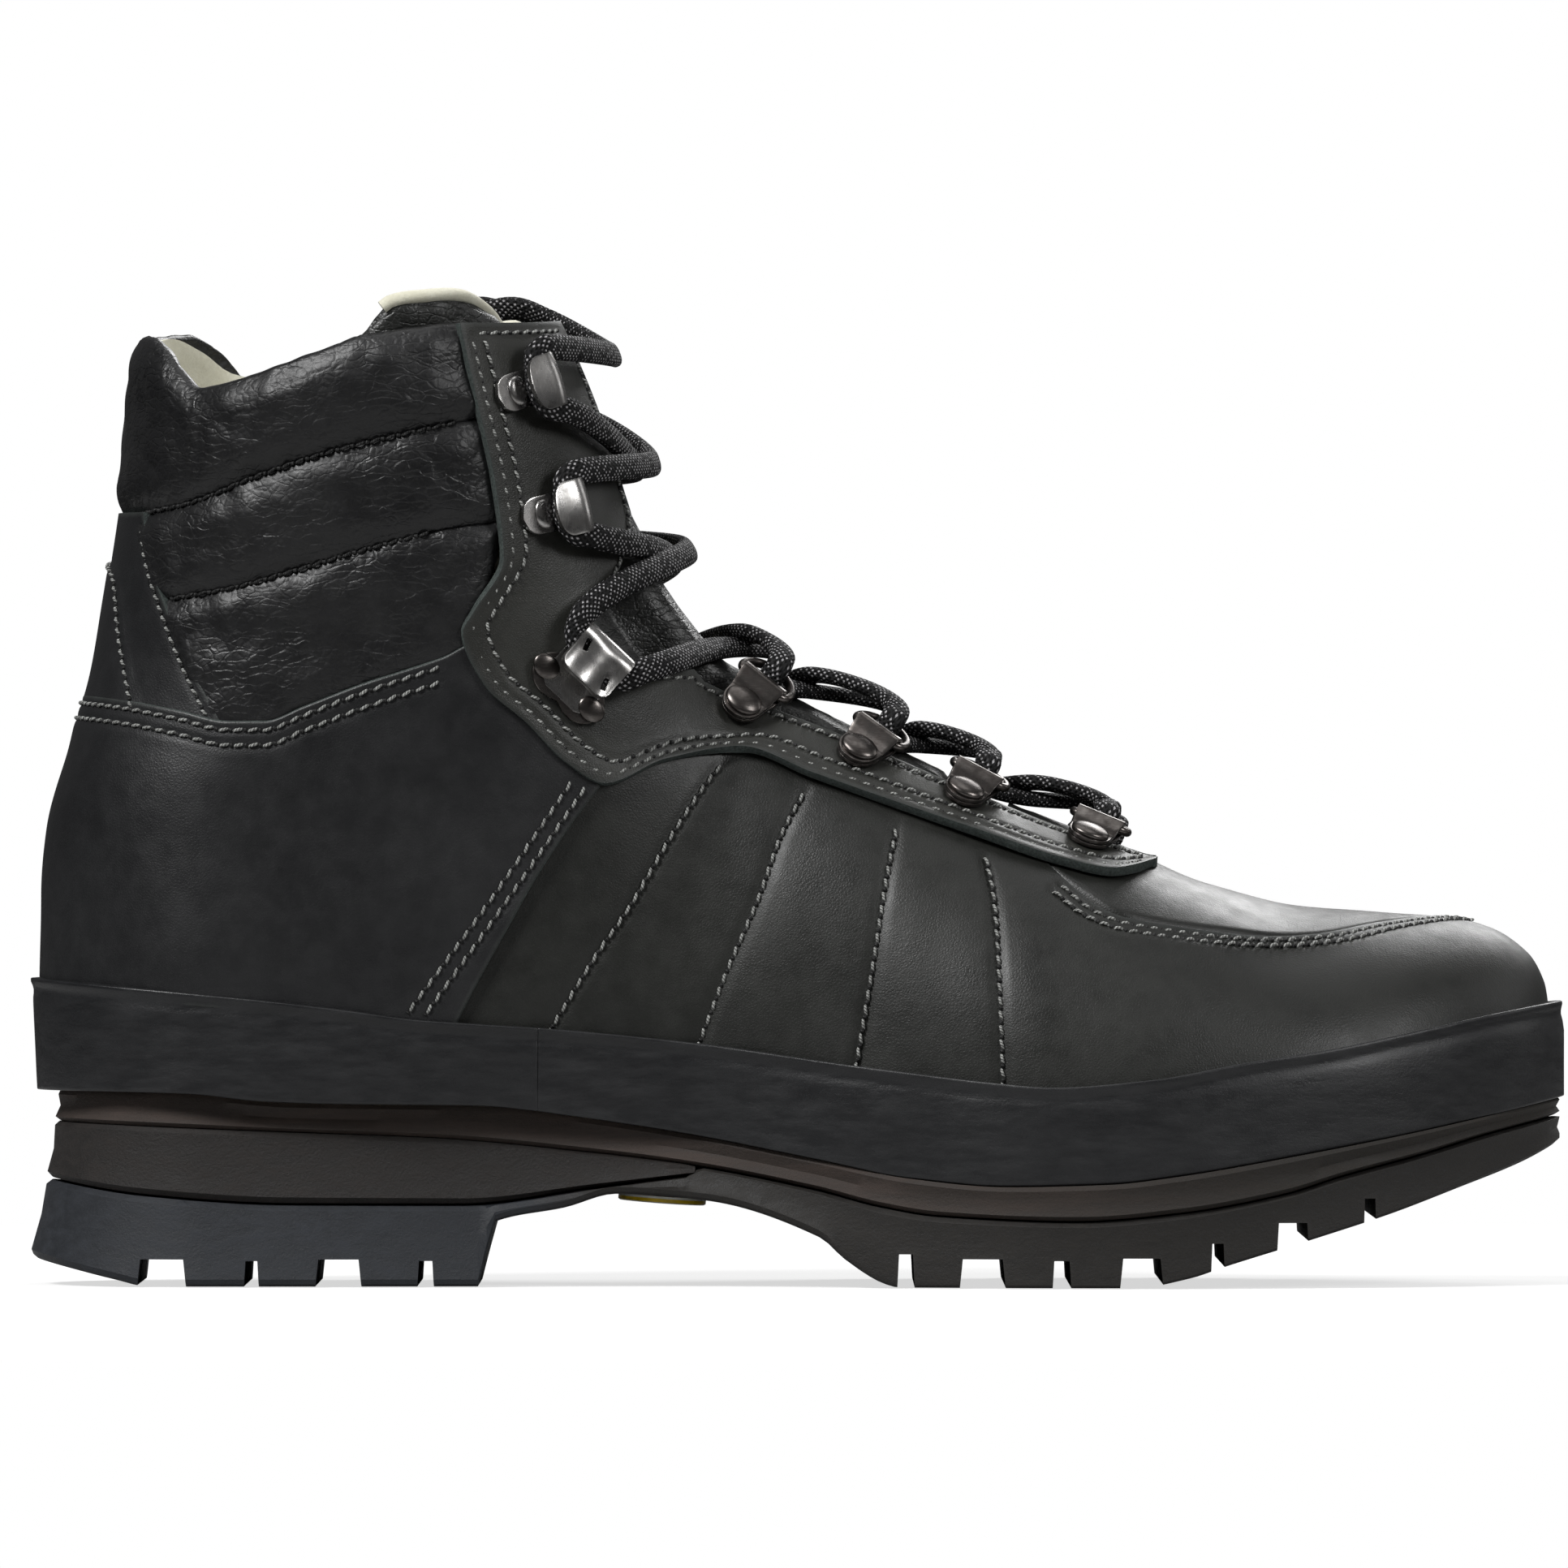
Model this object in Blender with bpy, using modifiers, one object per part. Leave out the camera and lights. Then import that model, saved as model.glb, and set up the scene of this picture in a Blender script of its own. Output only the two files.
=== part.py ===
"""A leather mountaineering boot, size EU 42, for the right foot.

Frame: +X points to the toe, -Y to the outer (lateral) side, +Z up. The origin is under the middle of
the boot, on the ground. The script's own lengths are millimetres, and MM turns them into metres.

The leather parts lie on one smooth skin. Its half width is given for every place in the side view, and
each panel is a patch of that skin, moved inwards by its depth and thickened.
"""

import math

import bmesh
import bpy
import numpy as np
from mathutils import Matrix, Vector

MM = 0.001

# Driving dimensions
TOE_X = 151.6
HEEL_X = -152.0
HEEL_CAP_LENGTH = 36.0
TOE_CAP_START = 70.0
SOLE_HALF_WIDTH = 54.6
UPPER_INSET = 3.2
GAP = 0.3

# Depths below the skin at which each layer starts, and its thickness
RAND_DEPTH, RAND_THICK = -0.8, 2.3
OVERLAY_DEPTH, OVERLAY_THICK = 0.0, 1.6
BASE_DEPTH, BASE_THICK = 2.2, 1.7
PAD_DEPTH, PAD_THICK = 0.2, 3.7
LINING_DEPTH, LINING_THICK = 5.0, 0.9
PUFF_DEPTH, PUFF_THICK = 5.0, 1.3
TOE_LINING_DEPTH, TOE_LINING_THICK = 7.0, 1.0
TONGUE_SUNK, TONGUE_CROWN = 11.4, 1.8
TONGUE_BACK_SUNK, TONGUE_BACK_CROWN = 14.4, 10.4
TONGUE_LINING_THICK = 1.0

# Hardware
STRAP_WIDTH, STRAP_LENGTH, STRAP_THICK = 9.4, 9.0, 1.6
LOOP_RADIUS, RING_WIRE_RADIUS, RING_BORE = 2.2, 0.9, 1.45
RING_WIDTH, RING_REACH, RING_TILT = 13.2, 6.8, -18.0
RIVET_RADIUS, RIVET_HEIGHT = 3.9, 1.5
HOOK_WIDTH, HOOK_LENGTH, HOOK_SHEET, HOOK_GAP = 8.8, 5.6, 1.2, 4.4
LOCK_WIDTH, LOCK_LENGTH = 12.0, 8.6
LACE_RADIUS = 1.5
STAND_OFF = 0.35


# ---------------------------------------------------------------- curves and the skin


def through(*points):
    """A curve through (place, value) points that never overshoots between them."""
    place, value = np.array(points, float).T
    step = np.diff(place)
    slope = np.diff(value) / step
    product = slope[:-1] * slope[1:]
    total = np.where(product > 0, slope[:-1] + slope[1:], 1.0)
    inner = np.where(product > 0, 2 * product / total, 0.0)
    tangent = np.concatenate([slope[:1], inner, slope[-1:]])

    def value_at(where):
        where = np.clip(where, place[0], place[-1])
        i = np.clip(np.searchsorted(place, where) - 1, 0, len(step) - 1)
        t = (where - place[i]) / step[i]
        start = (1 + 2 * t) * (1 - t) ** 2 * value[i] + t * (1 - t) ** 2 * step[i] * tangent[i]
        end = t**2 * (3 - 2 * t) * value[i + 1] + t**2 * (t - 1) * step[i] * tangent[i + 1]
        return start + end

    return value_at


def route(points, count):
    """Points spread evenly along a smooth line through the given ones."""
    points = np.array(points, float)
    steps = np.linalg.norm(np.diff(points, axis=0), axis=1)
    along = np.concatenate([[0], np.cumsum(steps)])
    curves = [through(*zip(along, axis)) for axis in points.T]
    fine = np.linspace(0, along[-1], 20 * count)
    dense = np.stack([curve(fine) for curve in curves], axis=-1)
    length = np.concatenate([[0], np.cumsum(np.linalg.norm(np.diff(dense, axis=0), axis=1))])
    wanted = np.linspace(0, length[-1], count)
    return np.stack([np.interp(wanted, length, axis) for axis in dense.T], axis=-1)


# Side view: back of the boot (height -> x), ridge of the foot and shaft (x -> height)
back_line = through((20, -148), (45, -150.0), (60, -150.6), (77, -150.4), (90, -149.0), (106, -144.8),
                    (121, -140.4), (135, -138.0), (150, -135.6), (165, -133.6), (183, -132.2), (215, -131))
RIDGE = [(-66, 222), (-60, 213), (-52, 201), (-45.4, 190), (-37.5, 172), (-31, 152), (-24, 138), (-18, 130),
         (-12.4, 124.3), (8, 114), (25, 105.5), (41.5, 97.4), (50, 93.6), (65, 88.0), (73.7, 84),
         (81.8, 80.8), (98, 76.3), (114, 74.7), (130, 73.9), (138, 72.2), (146, 66.9), (150, 60), (TOE_X, 50)]
ridge_line = through(*RIDGE)
shaft_front = through((20, -6), (100, -9), (125, -15), (138, -24), (152, -31), (172, -37.5), (190, -45.4),
                      (201, -52), (213, -60), (222, -66))
# Half widths: of the foot seen from above, and of the shaft by height
foot_width = through((-155, 38.0), (-100, 38.0), (-60, 36.0), (-30, 35.5), (0, 41.0), (25, 47.5),
                     (50, 53.5), (68, SOLE_HALF_WIDTH), (90, 53.5), (155, 50.5))
shaft_width = through((20, 30), (60, 32), (90, 33), (120, 35), (150, 39.5), (175, 42), (215, 43))
centre_line = through((-155, -1.4), (20, -1.4), (60, -0.6), (110, 2.4), (155, 5.0))
# Sole lines in the side view, x -> height
rand_bottom = through((-152, 38.2), (-122, 37.7), (-100, 35.8), (-61, 35.2), (-45, 33.3), (-21, 29.6),
                      (4, 24.8), (22, 21.2), (41, 19.6), (61, 20.1), (75, 21.7), (99, 25.8), (120, 29.8),
                      (136, 33.2), (153, 37))
rand_top = through((-152, 60.6), (-98, 55.5), (-73, 52.3), (-51, 50.9), (-20, 47.8), (11, 43.5), (41, 39.9),
                   (50, 39.2), (69, 40.6), (88, 44.0), (103, 46.2), (122, 50.1), (140, 53.8), (153, 56))
midsole_bottom = through((-152, 32.5), (-100, 30.4), (-72, 29.3), (-45, 26.9), (-21, 24.0), (4, 19.2),
                         (16, 16.1), (28, 14.2), (55, 13.2), (75, 14.8), (96, 18.6), (107, 22.0),
                         (123, 26.2), (136, 30.0), (153, 34.0))
wedge_bottom = through((-152, 21.8), (-129, 18.2), (-100, 16.4), (-66, 16.3), (-40, 19.6), (-18, 22.6))
ground = through((-153, 5.6), (-144, 3.5), (-134, 1.2), (-128, 0), (-62.6, 0), (-61.2, 6), (-60.6, 12.3),
                 (-45.4, 15.6), (-35.7, 18.2), (-18, 16.9), (4.5, 9.7), (9.3, 5.5), (17.4, 0.6), (20, 0),
                 (66, 0), (77, 1.9), (84, 4.2), (102, 9.7), (117, 14.5), (130, 19.3), (143, 24.2),
                 (152, 28.5))


def plan_width(x, heel_x=HEEL_X):
    """Half width of the sole seen from above, and the factors of its square at the heel and the toe."""
    heel = np.clip((heel_x + HEEL_CAP_LENGTH - x) / HEEL_CAP_LENGTH, 0, 2)
    toe = np.clip((x - TOE_CAP_START) / (TOE_X - TOE_CAP_START), 0, 2)
    return foot_width(x), 1 - heel**2, 1 - toe**2.4


def signed_product(*factors):
    """The product, kept negative wherever any factor is."""
    product = np.abs(math.prod(factors))
    return np.where(np.min(np.stack(np.broadcast_arrays(*factors)), axis=0) < 0, -product, product)


def width_squared(x, z):
    """Half width of the skin at a place in the side view, squared. It is negative outside the skin."""
    width, heel, toe = plan_width(x, back_line(z))
    feather = rand_bottom(x) + 10
    rise = np.clip((z - feather) / (ridge_line(x) - feather), 0, 3)
    foot = (width - UPPER_INSET) ** 2 * signed_product(heel, toe, 1 - rise**2.1)
    middle = (back_line(z) + shaft_front(z)) / 2
    half_length = (shaft_front(z) - back_line(z)) / 2
    shaft = shaft_width(z) ** 2 * (1 - np.abs((x - middle) / half_length) ** 2.4)
    joined = np.cbrt(np.maximum(foot, 0) ** 3 + np.maximum(shaft, 0) ** 3)
    return np.where(joined > 0, joined, np.maximum(foot, shaft))


def outside_by(points):
    """Positive outside the skin and negative inside it."""
    x, y, z = np.moveaxis(np.asarray(points, float), -1, 0)
    return (y - centre_line(x)) ** 2 - width_squared(x, z)


def normals_at(points):
    """Outward unit normals of the skin, from differences either side of each point."""
    points = np.asarray(points, float)
    reach = 0.4 * np.eye(3)
    slopes = [outside_by(points + step) - outside_by(points - step) for step in reach]
    slope = np.stack(slopes, axis=-1)
    return slope / np.linalg.norm(slope, axis=-1, keepdims=True)


def on_side(x, z, side=-1):
    """Points of the skin at these places in the side view, on one side of the boot."""
    x, z = np.broadcast_arrays(np.asarray(x, float), np.asarray(z, float))
    half = np.sqrt(np.maximum(width_squared(x, z), 0))
    return np.stack([x, centre_line(x) + side * half, z], axis=-1)


CORE = np.array([(96, 42), (-60, 56), (-88, 95), (-86, 215)], float)


def core_of(points):
    """For each point, the nearest one on a line through the middle of the foot and the shaft."""
    place = points[..., [0, 2]]
    best = np.full(place.shape[:-1], np.inf)
    found = np.zeros_like(place)
    for start, end in zip(CORE, CORE[1:]):
        run = end - start
        t = np.clip(((place - start) @ run) / (run @ run), 0, 1)
        spot = start + t[..., None] * run
        distance = np.linalg.norm(place - spot, axis=-1)
        found = np.where((distance < best)[..., None], spot, found)
        best = np.minimum(best, distance)
    return np.stack([found[..., 0], centre_line(found[..., 0]), found[..., 1]], axis=-1)


def cast(origins, directions, reach=130.0):
    """Where rays from inside the boot meet the skin."""
    directions = directions / np.linalg.norm(directions, axis=-1, keepdims=True)
    far = np.full(directions.shape[:-1], reach)
    for step in np.arange(2, reach, 2.0):
        outside = outside_by(origins + step * directions) > 0
        far = np.where(outside & (far > step), step, far)
    near = far - 2.0
    for _ in range(24):
        middle = (near + far) / 2
        inside = outside_by(origins + middle[..., None] * directions) < 0
        near = np.where(inside, middle, near)
        far = np.where(inside, far, middle)
    return origins + far[..., None] * directions


def pushed_to_skin(guesses):
    """The points of the skin straight out from the boot's core through each guess."""
    origins = core_of(guesses)
    return cast(origins, guesses - origins)


# ---------------------------------------------------------------- scene, materials and meshes


def clear_scene():
    for obj in list(bpy.data.objects):
        bpy.data.objects.remove(obj, do_unlink=True)


def new_collection(name):
    made = bpy.data.collections.new(name)
    bpy.context.scene.collection.children.link(made)
    return made


def material(name, colour, roughness, metallic=0.0):
    made = bpy.data.materials.new(name)
    made.use_nodes = True
    shader = made.node_tree.nodes["Principled BSDF"]
    shader.inputs["Base Color"].default_value = (*colour, 1)
    shader.inputs["Roughness"].default_value = roughness
    shader.inputs["Metallic"].default_value = metallic
    made.diffuse_color = (*colour, 1)
    return made


clear_scene()
BOOT = new_collection("mountaineering_boot")
CUTTERS = new_collection("cutters")

LEATHER = material("black_leather", (0.022, 0.022, 0.024), 0.42)
SOFT_LEATHER = material("collar_leather", (0.028, 0.028, 0.030), 0.5)
FACING_LEATHER = material("facing_leather", (0.040, 0.040, 0.037), 0.5)
LINING_CLOTH = material("pale_lining", (0.62, 0.55, 0.42), 0.9)
RUBBER = material("grey_rubber", (0.055, 0.057, 0.062), 0.4)
HEEL_RUBBER = material("blue_grey_rubber", (0.075, 0.082, 0.095), 0.6)
MIDSOLE_BROWN = material("brown_midsole", (0.16, 0.095, 0.06), 0.7)
WEDGE_BROWN = material("dark_brown_wedge", (0.06, 0.042, 0.034), 0.7)
BOARD = material("fibre_board", (0.45, 0.33, 0.2), 0.8)
FOAM = material("footbed_foam", (0.2, 0.2, 0.21), 0.9)
STEEL = material("bright_steel", (0.6, 0.6, 0.6), 0.3, 1.0)
GUNMETAL = material("gunmetal", (0.16, 0.145, 0.13), 0.35, 1.0)
BRAID = material("black_braid", (0.02, 0.02, 0.022), 0.8)
INLAY = material("plain_inlay", (0.6, 0.45, 0.08), 0.5)
CLEAR_TIP = material("aglet_plastic", (0.05, 0.05, 0.05), 0.3)


def add(name, mesh, look, collection=BOOT):
    mesh.materials.append(look)
    made = bpy.data.objects.new(name, mesh)
    collection.objects.link(made)
    return made


def smooth(mesh, angle=40):
    mesh.shade_smooth()
    mesh.set_sharp_from_angle(angle=math.radians(angle))


def mesh_from(name, build):
    """A mesh made by build(bmesh), with its faces turned outwards."""
    made = bmesh.new()
    build(made)
    mesh = bpy.data.meshes.new(name)
    made.to_mesh(mesh)
    made.free()
    return mesh


def grid_mesh(name, points, outward):
    """An open sheet through a grid of points in millimetres, its faces on the outward side."""
    rows, columns = points.shape[:2]

    def build(made):
        bmesh.ops.create_grid(made, x_segments=columns - 1, y_segments=rows - 1, size=1)
        made.verts.ensure_lookup_table()
        for vertex, point in zip(made.verts, points.reshape(-1, 3)):
            vertex.co = point * MM
        made.normal_update()
        ways = [Vector(way) for way in outward.reshape(-1, 3)]
        if sum(vertex.normal.dot(way) for vertex, way in zip(made.verts, ways)) < 0:
            bmesh.ops.reverse_faces(made, faces=made.faces)

    return mesh_from(name, build)


def shell(name, skin_points, depth, thick, look):
    """A panel: a patch of the skin moved in by depth, which may vary, and thickened inwards."""
    outward = normals_at(skin_points)
    depths = np.broadcast_to(np.asarray(depth, float), skin_points.shape[:2])
    sheet = skin_points - outward * depths[..., None]
    made = add(name, grid_mesh(name, sheet, outward), look)
    solidify = made.modifiers.new("thickness", "SOLIDIFY")
    solidify.thickness = thick * MM
    solidify.offset = -1
    smooth(made.data)
    return made


def cutter(name, mesh):
    made = bpy.data.objects.new(name, mesh)
    CUTTERS.objects.link(made)
    made.hide_render = True
    made.display_type = "WIRE"
    return made


def boolean(target, other, operation):
    modifier = target.modifiers.new(operation.lower(), "BOOLEAN")
    modifier.operation = operation
    modifier.object = other
    modifier.solver = "EXACT"


# ---------------------------------------------------------------- panels that wrap the heel


def heel_edge(line, count):
    """Columns from the side to the back of the heel, as (distance from the back line, height).

    line holds (x, z) points from the front to the back line. The columns close up towards the back,
    where the skin turns fastest.
    """
    line = np.array(line, float)
    spread = route(line, 80)
    height = spread[:, 1]
    ahead = np.maximum(spread[:, 0] - back_line(height), 0)
    ahead[-1] = 0
    place = np.linspace(0, 1, len(spread))
    wanted = np.sin(np.linspace(0, math.pi / 2, count))
    return np.stack([np.interp(wanted, place, ahead), np.interp(wanted, place, height)], axis=-1)


def heel_wrap(bottom, top, rows, half_columns):
    """Skin points between two edges that run from the outer side, round the heel, to the inner side."""
    low = heel_edge(bottom, half_columns)
    high = heel_edge(top, half_columns)
    t = np.linspace(0, 1, rows)[:, None, None]
    place = low * (1 - t) + high * t
    height = place[..., 1]
    x = back_line(height) + place[..., 0]
    outer = on_side(x, height, -1)
    inner = on_side(x, height, 1)[:, ::-1]
    return np.concatenate([outer[:, :-1], inner], axis=1)


def side_patch(bottom, top, rows, columns, side):
    """Skin points between two edges on one side of the boot, each given as (x, z) points."""
    t = np.linspace(0, 1, rows)[:, None, None]
    place = route(bottom, columns) * (1 - t) + route(top, columns) * t
    return on_side(place[..., 0], place[..., 1], side)


QUARTER_BESIDE_COLLAR = [(-70, 123.6), (-86.3, 118.2), (-97, 114.1), (-105, 111.2)]
QUARTER_BACK = QUARTER_BESIDE_COLLAR + [(-112, 111.2), (-122, 113.4), (-133.6, 115.6), (-142.6, 116.7)]
QUARTER_TOP = [(-40.8, 97.4), (-46.2, 101.8), (-54.8, 109.7), (-63.0, 117.0), (-66.9, 124.4)] + QUARTER_BACK
QUARTER_BOTTOM = [(-68.0, 52.4), (-85, 54.4), (-98, 56.2), (-125, 58.6), (-150.8, 61.4)]
SEAM_LOW = [(-60.2, 150.6), (-71.8, 148.2), (-86.3, 144.4), (-97.1, 141.2), (-112.1, 137.3), (-124.5, 135.4)]
SEAM_HIGH = [(-63.4, 170.6), (-66.2, 170.0), (-79.1, 167.1), (-93.4, 163.6), (-107.9, 158.9), (-120.8, 154.2),
             (-130.8, 152.4), (-135.1, 152.2)]
COLLAR_TOP = [(-67.8, 189.2), (-84.0, 186.6), (-98, 182.2), (-111.4, 177.8), (-119.5, 176.2), (-124.5, 180.5),
              (-129, 185.6), (-132.2, 187.2)]
backstay_reach = through((111, 29.6), (122, 20.4), (134, 13.0), (144, 7.9), (152, 5.6))
quarter_top_line = through(*reversed(QUARTER_BACK))


def shifted(points, dx=0.0, dz=0.0):
    return [(x + dx, z + dz) for x, z in points]


def make_heel_quarter():
    points = heel_wrap(QUARTER_BOTTOM, QUARTER_TOP, rows=7, half_columns=15)
    shell("heel_quarter", points, OVERLAY_DEPTH, OVERLAY_THICK, LEATHER)


def make_heel_counter():
    bottom = [(-76, 38.6), (-100, 38.0), (-125, 40.4), (-149.6, 41.0)]
    top = [(-84, 84), (-100, 92), (-125, 97), (-148.0, 97)]
    points = heel_wrap(bottom, top, rows=6, half_columns=11)
    shell("heel_counter", points, BASE_DEPTH, BASE_THICK, BOARD)


def make_collar():
    points = heel_wrap(shifted(SEAM_HIGH, dz=0.5), COLLAR_TOP, rows=5, half_columns=14)
    shell("collar_upper", points, PAD_DEPTH, PAD_THICK, SOFT_LEATHER)
    middle_bottom = shifted(SEAM_LOW, dz=0.4)
    middle_top = [(-63.4, 170.2)] + shifted(SEAM_HIGH[1:-2], dz=-0.4) + [(-128.6, 152.0)]
    lower_bottom = [(-67.4, 126.2)] + shifted(QUARTER_BESIDE_COLLAR, dx=0.3, dz=1.0) + [(-112.6, 112.2)]
    lower_top = shifted(SEAM_LOW, dz=-0.4)
    for side, word in ((-1, "lateral"), (1, "medial")):
        middle = side_patch(middle_bottom, middle_top, 4, 12, side)
        shell(f"collar_middle_{word}", middle, PAD_DEPTH, PAD_THICK, SOFT_LEATHER)
        lower = side_patch(lower_bottom, lower_top, 5, 10, side)
        shell(f"collar_lower_{word}", lower, PAD_DEPTH, PAD_THICK, SOFT_LEATHER)


def make_backstay():
    """The strip up the back of the heel. It narrows from the quarter's edge up to the collar's seam."""
    across = np.sin(np.linspace(0, math.pi / 2, 7))
    side_heights = np.linspace(112.1, 151.3, 8)[:, None]
    share = np.linspace(1, 0, 8)[:, None]
    base_x = back_line(115.0) + backstay_reach(112.0) * (1 - across)
    rise = (quarter_top_line(base_x) - quarter_top_line(base_x[0])) * share
    height = side_heights + rise
    x = back_line(height) + backstay_reach(side_heights) * (1 - across)
    outer = on_side(x, height, -1)
    inner = on_side(x, height, 1)[:, ::-1]
    points = np.concatenate([outer[:, :-1], inner], axis=1)
    shell("backstay", points, OVERLAY_DEPTH, PAD_THICK, LEATHER)


# ---------------------------------------------------------------- rands


def make_rand_heel():
    along = np.array([-51.0, -62, -75, -90, -105, -120, -135, back_line(38.5)])
    bottom = list(zip(along, rand_bottom(along) + GAP))
    along[-1] = back_line(60.5)
    top = list(zip(along, rand_top(along)))
    points = heel_wrap(bottom, top, rows=4, half_columns=16)
    shell("rand_heel", points, RAND_DEPTH, RAND_THICK, RUBBER)


def toe_wrap(low, high, start, rows, half_columns):
    """Skin points round the toe between two height lines, from x = start on both sides."""
    across = np.sin(np.linspace(0, math.pi / 2, half_columns))
    t = np.linspace(0, 1, rows)[:, None]
    x = start + (TOE_X - start) * across
    height = low(x) * (1 - t) + high(x) * t
    front = np.interp(height, [50, 60, 66.9, 72.2], [TOE_X, 150, 146, 138])
    x = start + (front - start) * across
    outer = on_side(x, height, -1)
    inner = on_side(x, height, 1)[:, ::-1]
    return np.concatenate([outer[:, :-1], inner], axis=1)


def make_rand_toe():
    points = toe_wrap(lambda x: rand_bottom(x) + GAP, rand_top, -50.3, rows=4, half_columns=22)
    shell("rand_toe", points, RAND_DEPTH, RAND_THICK, RUBBER)


# ---------------------------------------------------------------- vamp, toe and lining


def mirrored(edge):
    """An edge from the outer side to the middle line, carried on to the inner side."""
    other = edge[::-1].copy()
    other[:, 1] = 2 * centre_line(other[:, 0]) - other[:, 1]
    return np.concatenate([edge[:-1], other])


def outer_edge(points, count):
    """A smooth edge through (x, distance from the middle, z) points, on the outer side."""
    edge = route(points, count)
    edge[:, 1] = centre_line(edge[:, 0]) - edge[:, 1]
    return edge


def filled(low, high, rows):
    """Skin points on a grid between two edges in space."""
    t = np.linspace(0, 1, rows)[:, None, None]
    return pushed_to_skin(low * (1 - t) + high * t)


def foot_edge(start, lift, count):
    """The feather line round the toe, from x = start on the outer side to the same on the inner side."""
    x = start + (TOE_X - start) * np.sin(np.linspace(0, math.pi / 2, count))
    return mirrored(on_side(x, rand_bottom(x) + lift, -1))


VAMP_TOP = [(-51.0, 36, 105), (-30, 34.5, 110), (-10, 29, 114), (3, 25, 109), (19, 22, 102.5), (35, 20, 95.5),
            (46, 25, 88)]
PLUG_SEAM = [(53, 30, 81), (59, 33.5, 75.5), (66, 34.8, 73), (80, 33.2, 72), (103, 24, 71), (117, 13, 73.5),
             (130.5, 0, 74)]
PLUG_EDGE = [(55.5, 28.6, 80.5), (60.5, 31.6, 76.3), (66.5, 33.0, 74), (80, 31.6, 73), (102.5, 22.5, 72),
             (116, 11.8, 74), (128.8, 0, 74.5)]


def make_vamp():
    low = foot_edge(-73, 1.6, 22)
    high = mirrored(outer_edge(VAMP_TOP + PLUG_SEAM, 22))
    points = filled(low, high, 7)
    shell("vamp", points, BASE_DEPTH, BASE_THICK, LEATHER)


def make_vamp_plug():
    """The panel over the toes, from its straight rear edge to its blunt front tip."""
    outer = outer_edge(PLUG_EDGE, 44)[:42:4]
    inner = outer.copy()
    inner[:, 1] = 2 * centre_line(outer[:, 0]) - outer[:, 1]
    points = filled(outer, inner, 11)
    shell("vamp_plug", points, BASE_DEPTH, BASE_THICK, LEATHER)


def over_toe(start, end, rows, columns):
    """Skin points on arches over the foot, from x = start to the front of the toe."""
    arch = np.linspace(0, math.pi, columns)
    along = start + (end - start) * np.sin(np.linspace(0, math.pi / 2, rows))[:, None]
    half = np.sqrt(np.maximum(width_squared(along, rand_bottom(along) + 6), 0))
    y = centre_line(along) - half * np.cos(arch)
    low = rand_bottom(along) + 3
    z = low + (ridge_line(along) - low) * np.sin(arch)
    return pushed_to_skin(np.stack([np.broadcast_to(along, y.shape), y, z], axis=-1))


def make_toe_puff():
    points = over_toe(104, 149.5, 6, 17)
    shell("toe_puff", points, PUFF_DEPTH, PUFF_THICK, BOARD)


def make_lining_toe():
    points = over_toe(50, 148.5, 9, 17)
    shell("lining_toe", points, TOE_LINING_DEPTH, TOE_LINING_THICK, LINING_CLOTH)


LINING_COLLAR = [(-84, 38, 186.4), (-111, 30, 177.8), (-122, 20, 178.5), (-132, 0, 187)]
LINING_INNER = [(46, 17.5, 92), (20, 18, 104), (0, 21, 112), (-20, 25, 120), (-36, 27, 130), (-45, 24, 150),
                (-48, 23, 168), (-56, 24, 187)]


def make_lining_quarter():
    """The lining of the shaft and the sides of the foot, open at the front where the tongue lies."""
    back = float(back_line(rand_bottom(-150.0) + 2.5))
    x = 46 - (46 - back) * np.sin(np.linspace(0, math.pi / 2, 19))
    low_side = on_side(x, rand_bottom(x) + 2.5, -1)
    high_side = outer_edge(LINING_INNER + LINING_COLLAR, 19)
    points = filled(mirrored(low_side), mirrored(high_side), 9)
    shell("lining_quarter", points, LINING_DEPTH, LINING_THICK, LINING_CLOTH)


# ---------------------------------------------------------------- facings and tongue

FACING_OUTER = [(-66.7, 189.4), (-63.1, 173.9), (-59.6, 157.8), (-58.0, 143.3), (-65.3, 129.6),
                (-61.5, 118.3), (-53.5, 111.1), (-45.4, 103.0), (-38.0, 99.0), (-26.1, 103.8), (-12, 106),
                (3, 100.6), (19, 95), (35, 89.4), (52.8, 83.4), (62, 81.7), (70.6, 84.2)]
FACING_INNER = [(-47.0, 11.5, 190.4), (-39.5, 11.5, 172), (-34, 11.5, 154), (-37.5, 22, 142), (-43, 31, 132),
                (-40.5, 30, 126), (-34, 27, 123), (-25, 23, 121.3), (-15, 17, 121.5), (-9, 15, 119.5),
                (0, 14.8, 115.5), (14, 14.8, 108.5), (26, 14.8, 102.5), (38, 14.8, 97), (54, 14.4, 90),
                (64, 14.6, 87), (72, 16, 84.9)]


def make_facings():
    for side, word in ((-1, "lateral"), (1, "medial")):
        outer = route(FACING_OUTER, 38)
        low = on_side(outer[:, 0], outer[:, 1], side)
        high = route(FACING_INNER, 38)
        high[:, 1] = centre_line(high[:, 0]) + side * high[:, 1]
        points = filled(low, high, 5)
        shell(f"facing_{word}", points, OVERLAY_DEPTH, OVERLAY_THICK, FACING_LEATHER)


def ridge_frames(start, end, count):
    """Points along the ridge between two x places, with the ridge's outward direction at each."""
    x = np.linspace(start, end, 200)
    points = np.stack([x, centre_line(x), ridge_line(x)], axis=-1)
    length = np.concatenate([[0], np.cumsum(np.linalg.norm(np.diff(points, axis=0), axis=1))])
    wanted = np.linspace(0, length[-1], count)
    spots = np.stack([np.interp(wanted, length, axis) for axis in points.T], axis=-1)
    return spots, normals_at(spots)


TONGUE_TOP_X, TONGUE_END_X = -51.0, 49.0
TONGUE_CORE = 40.0


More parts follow.
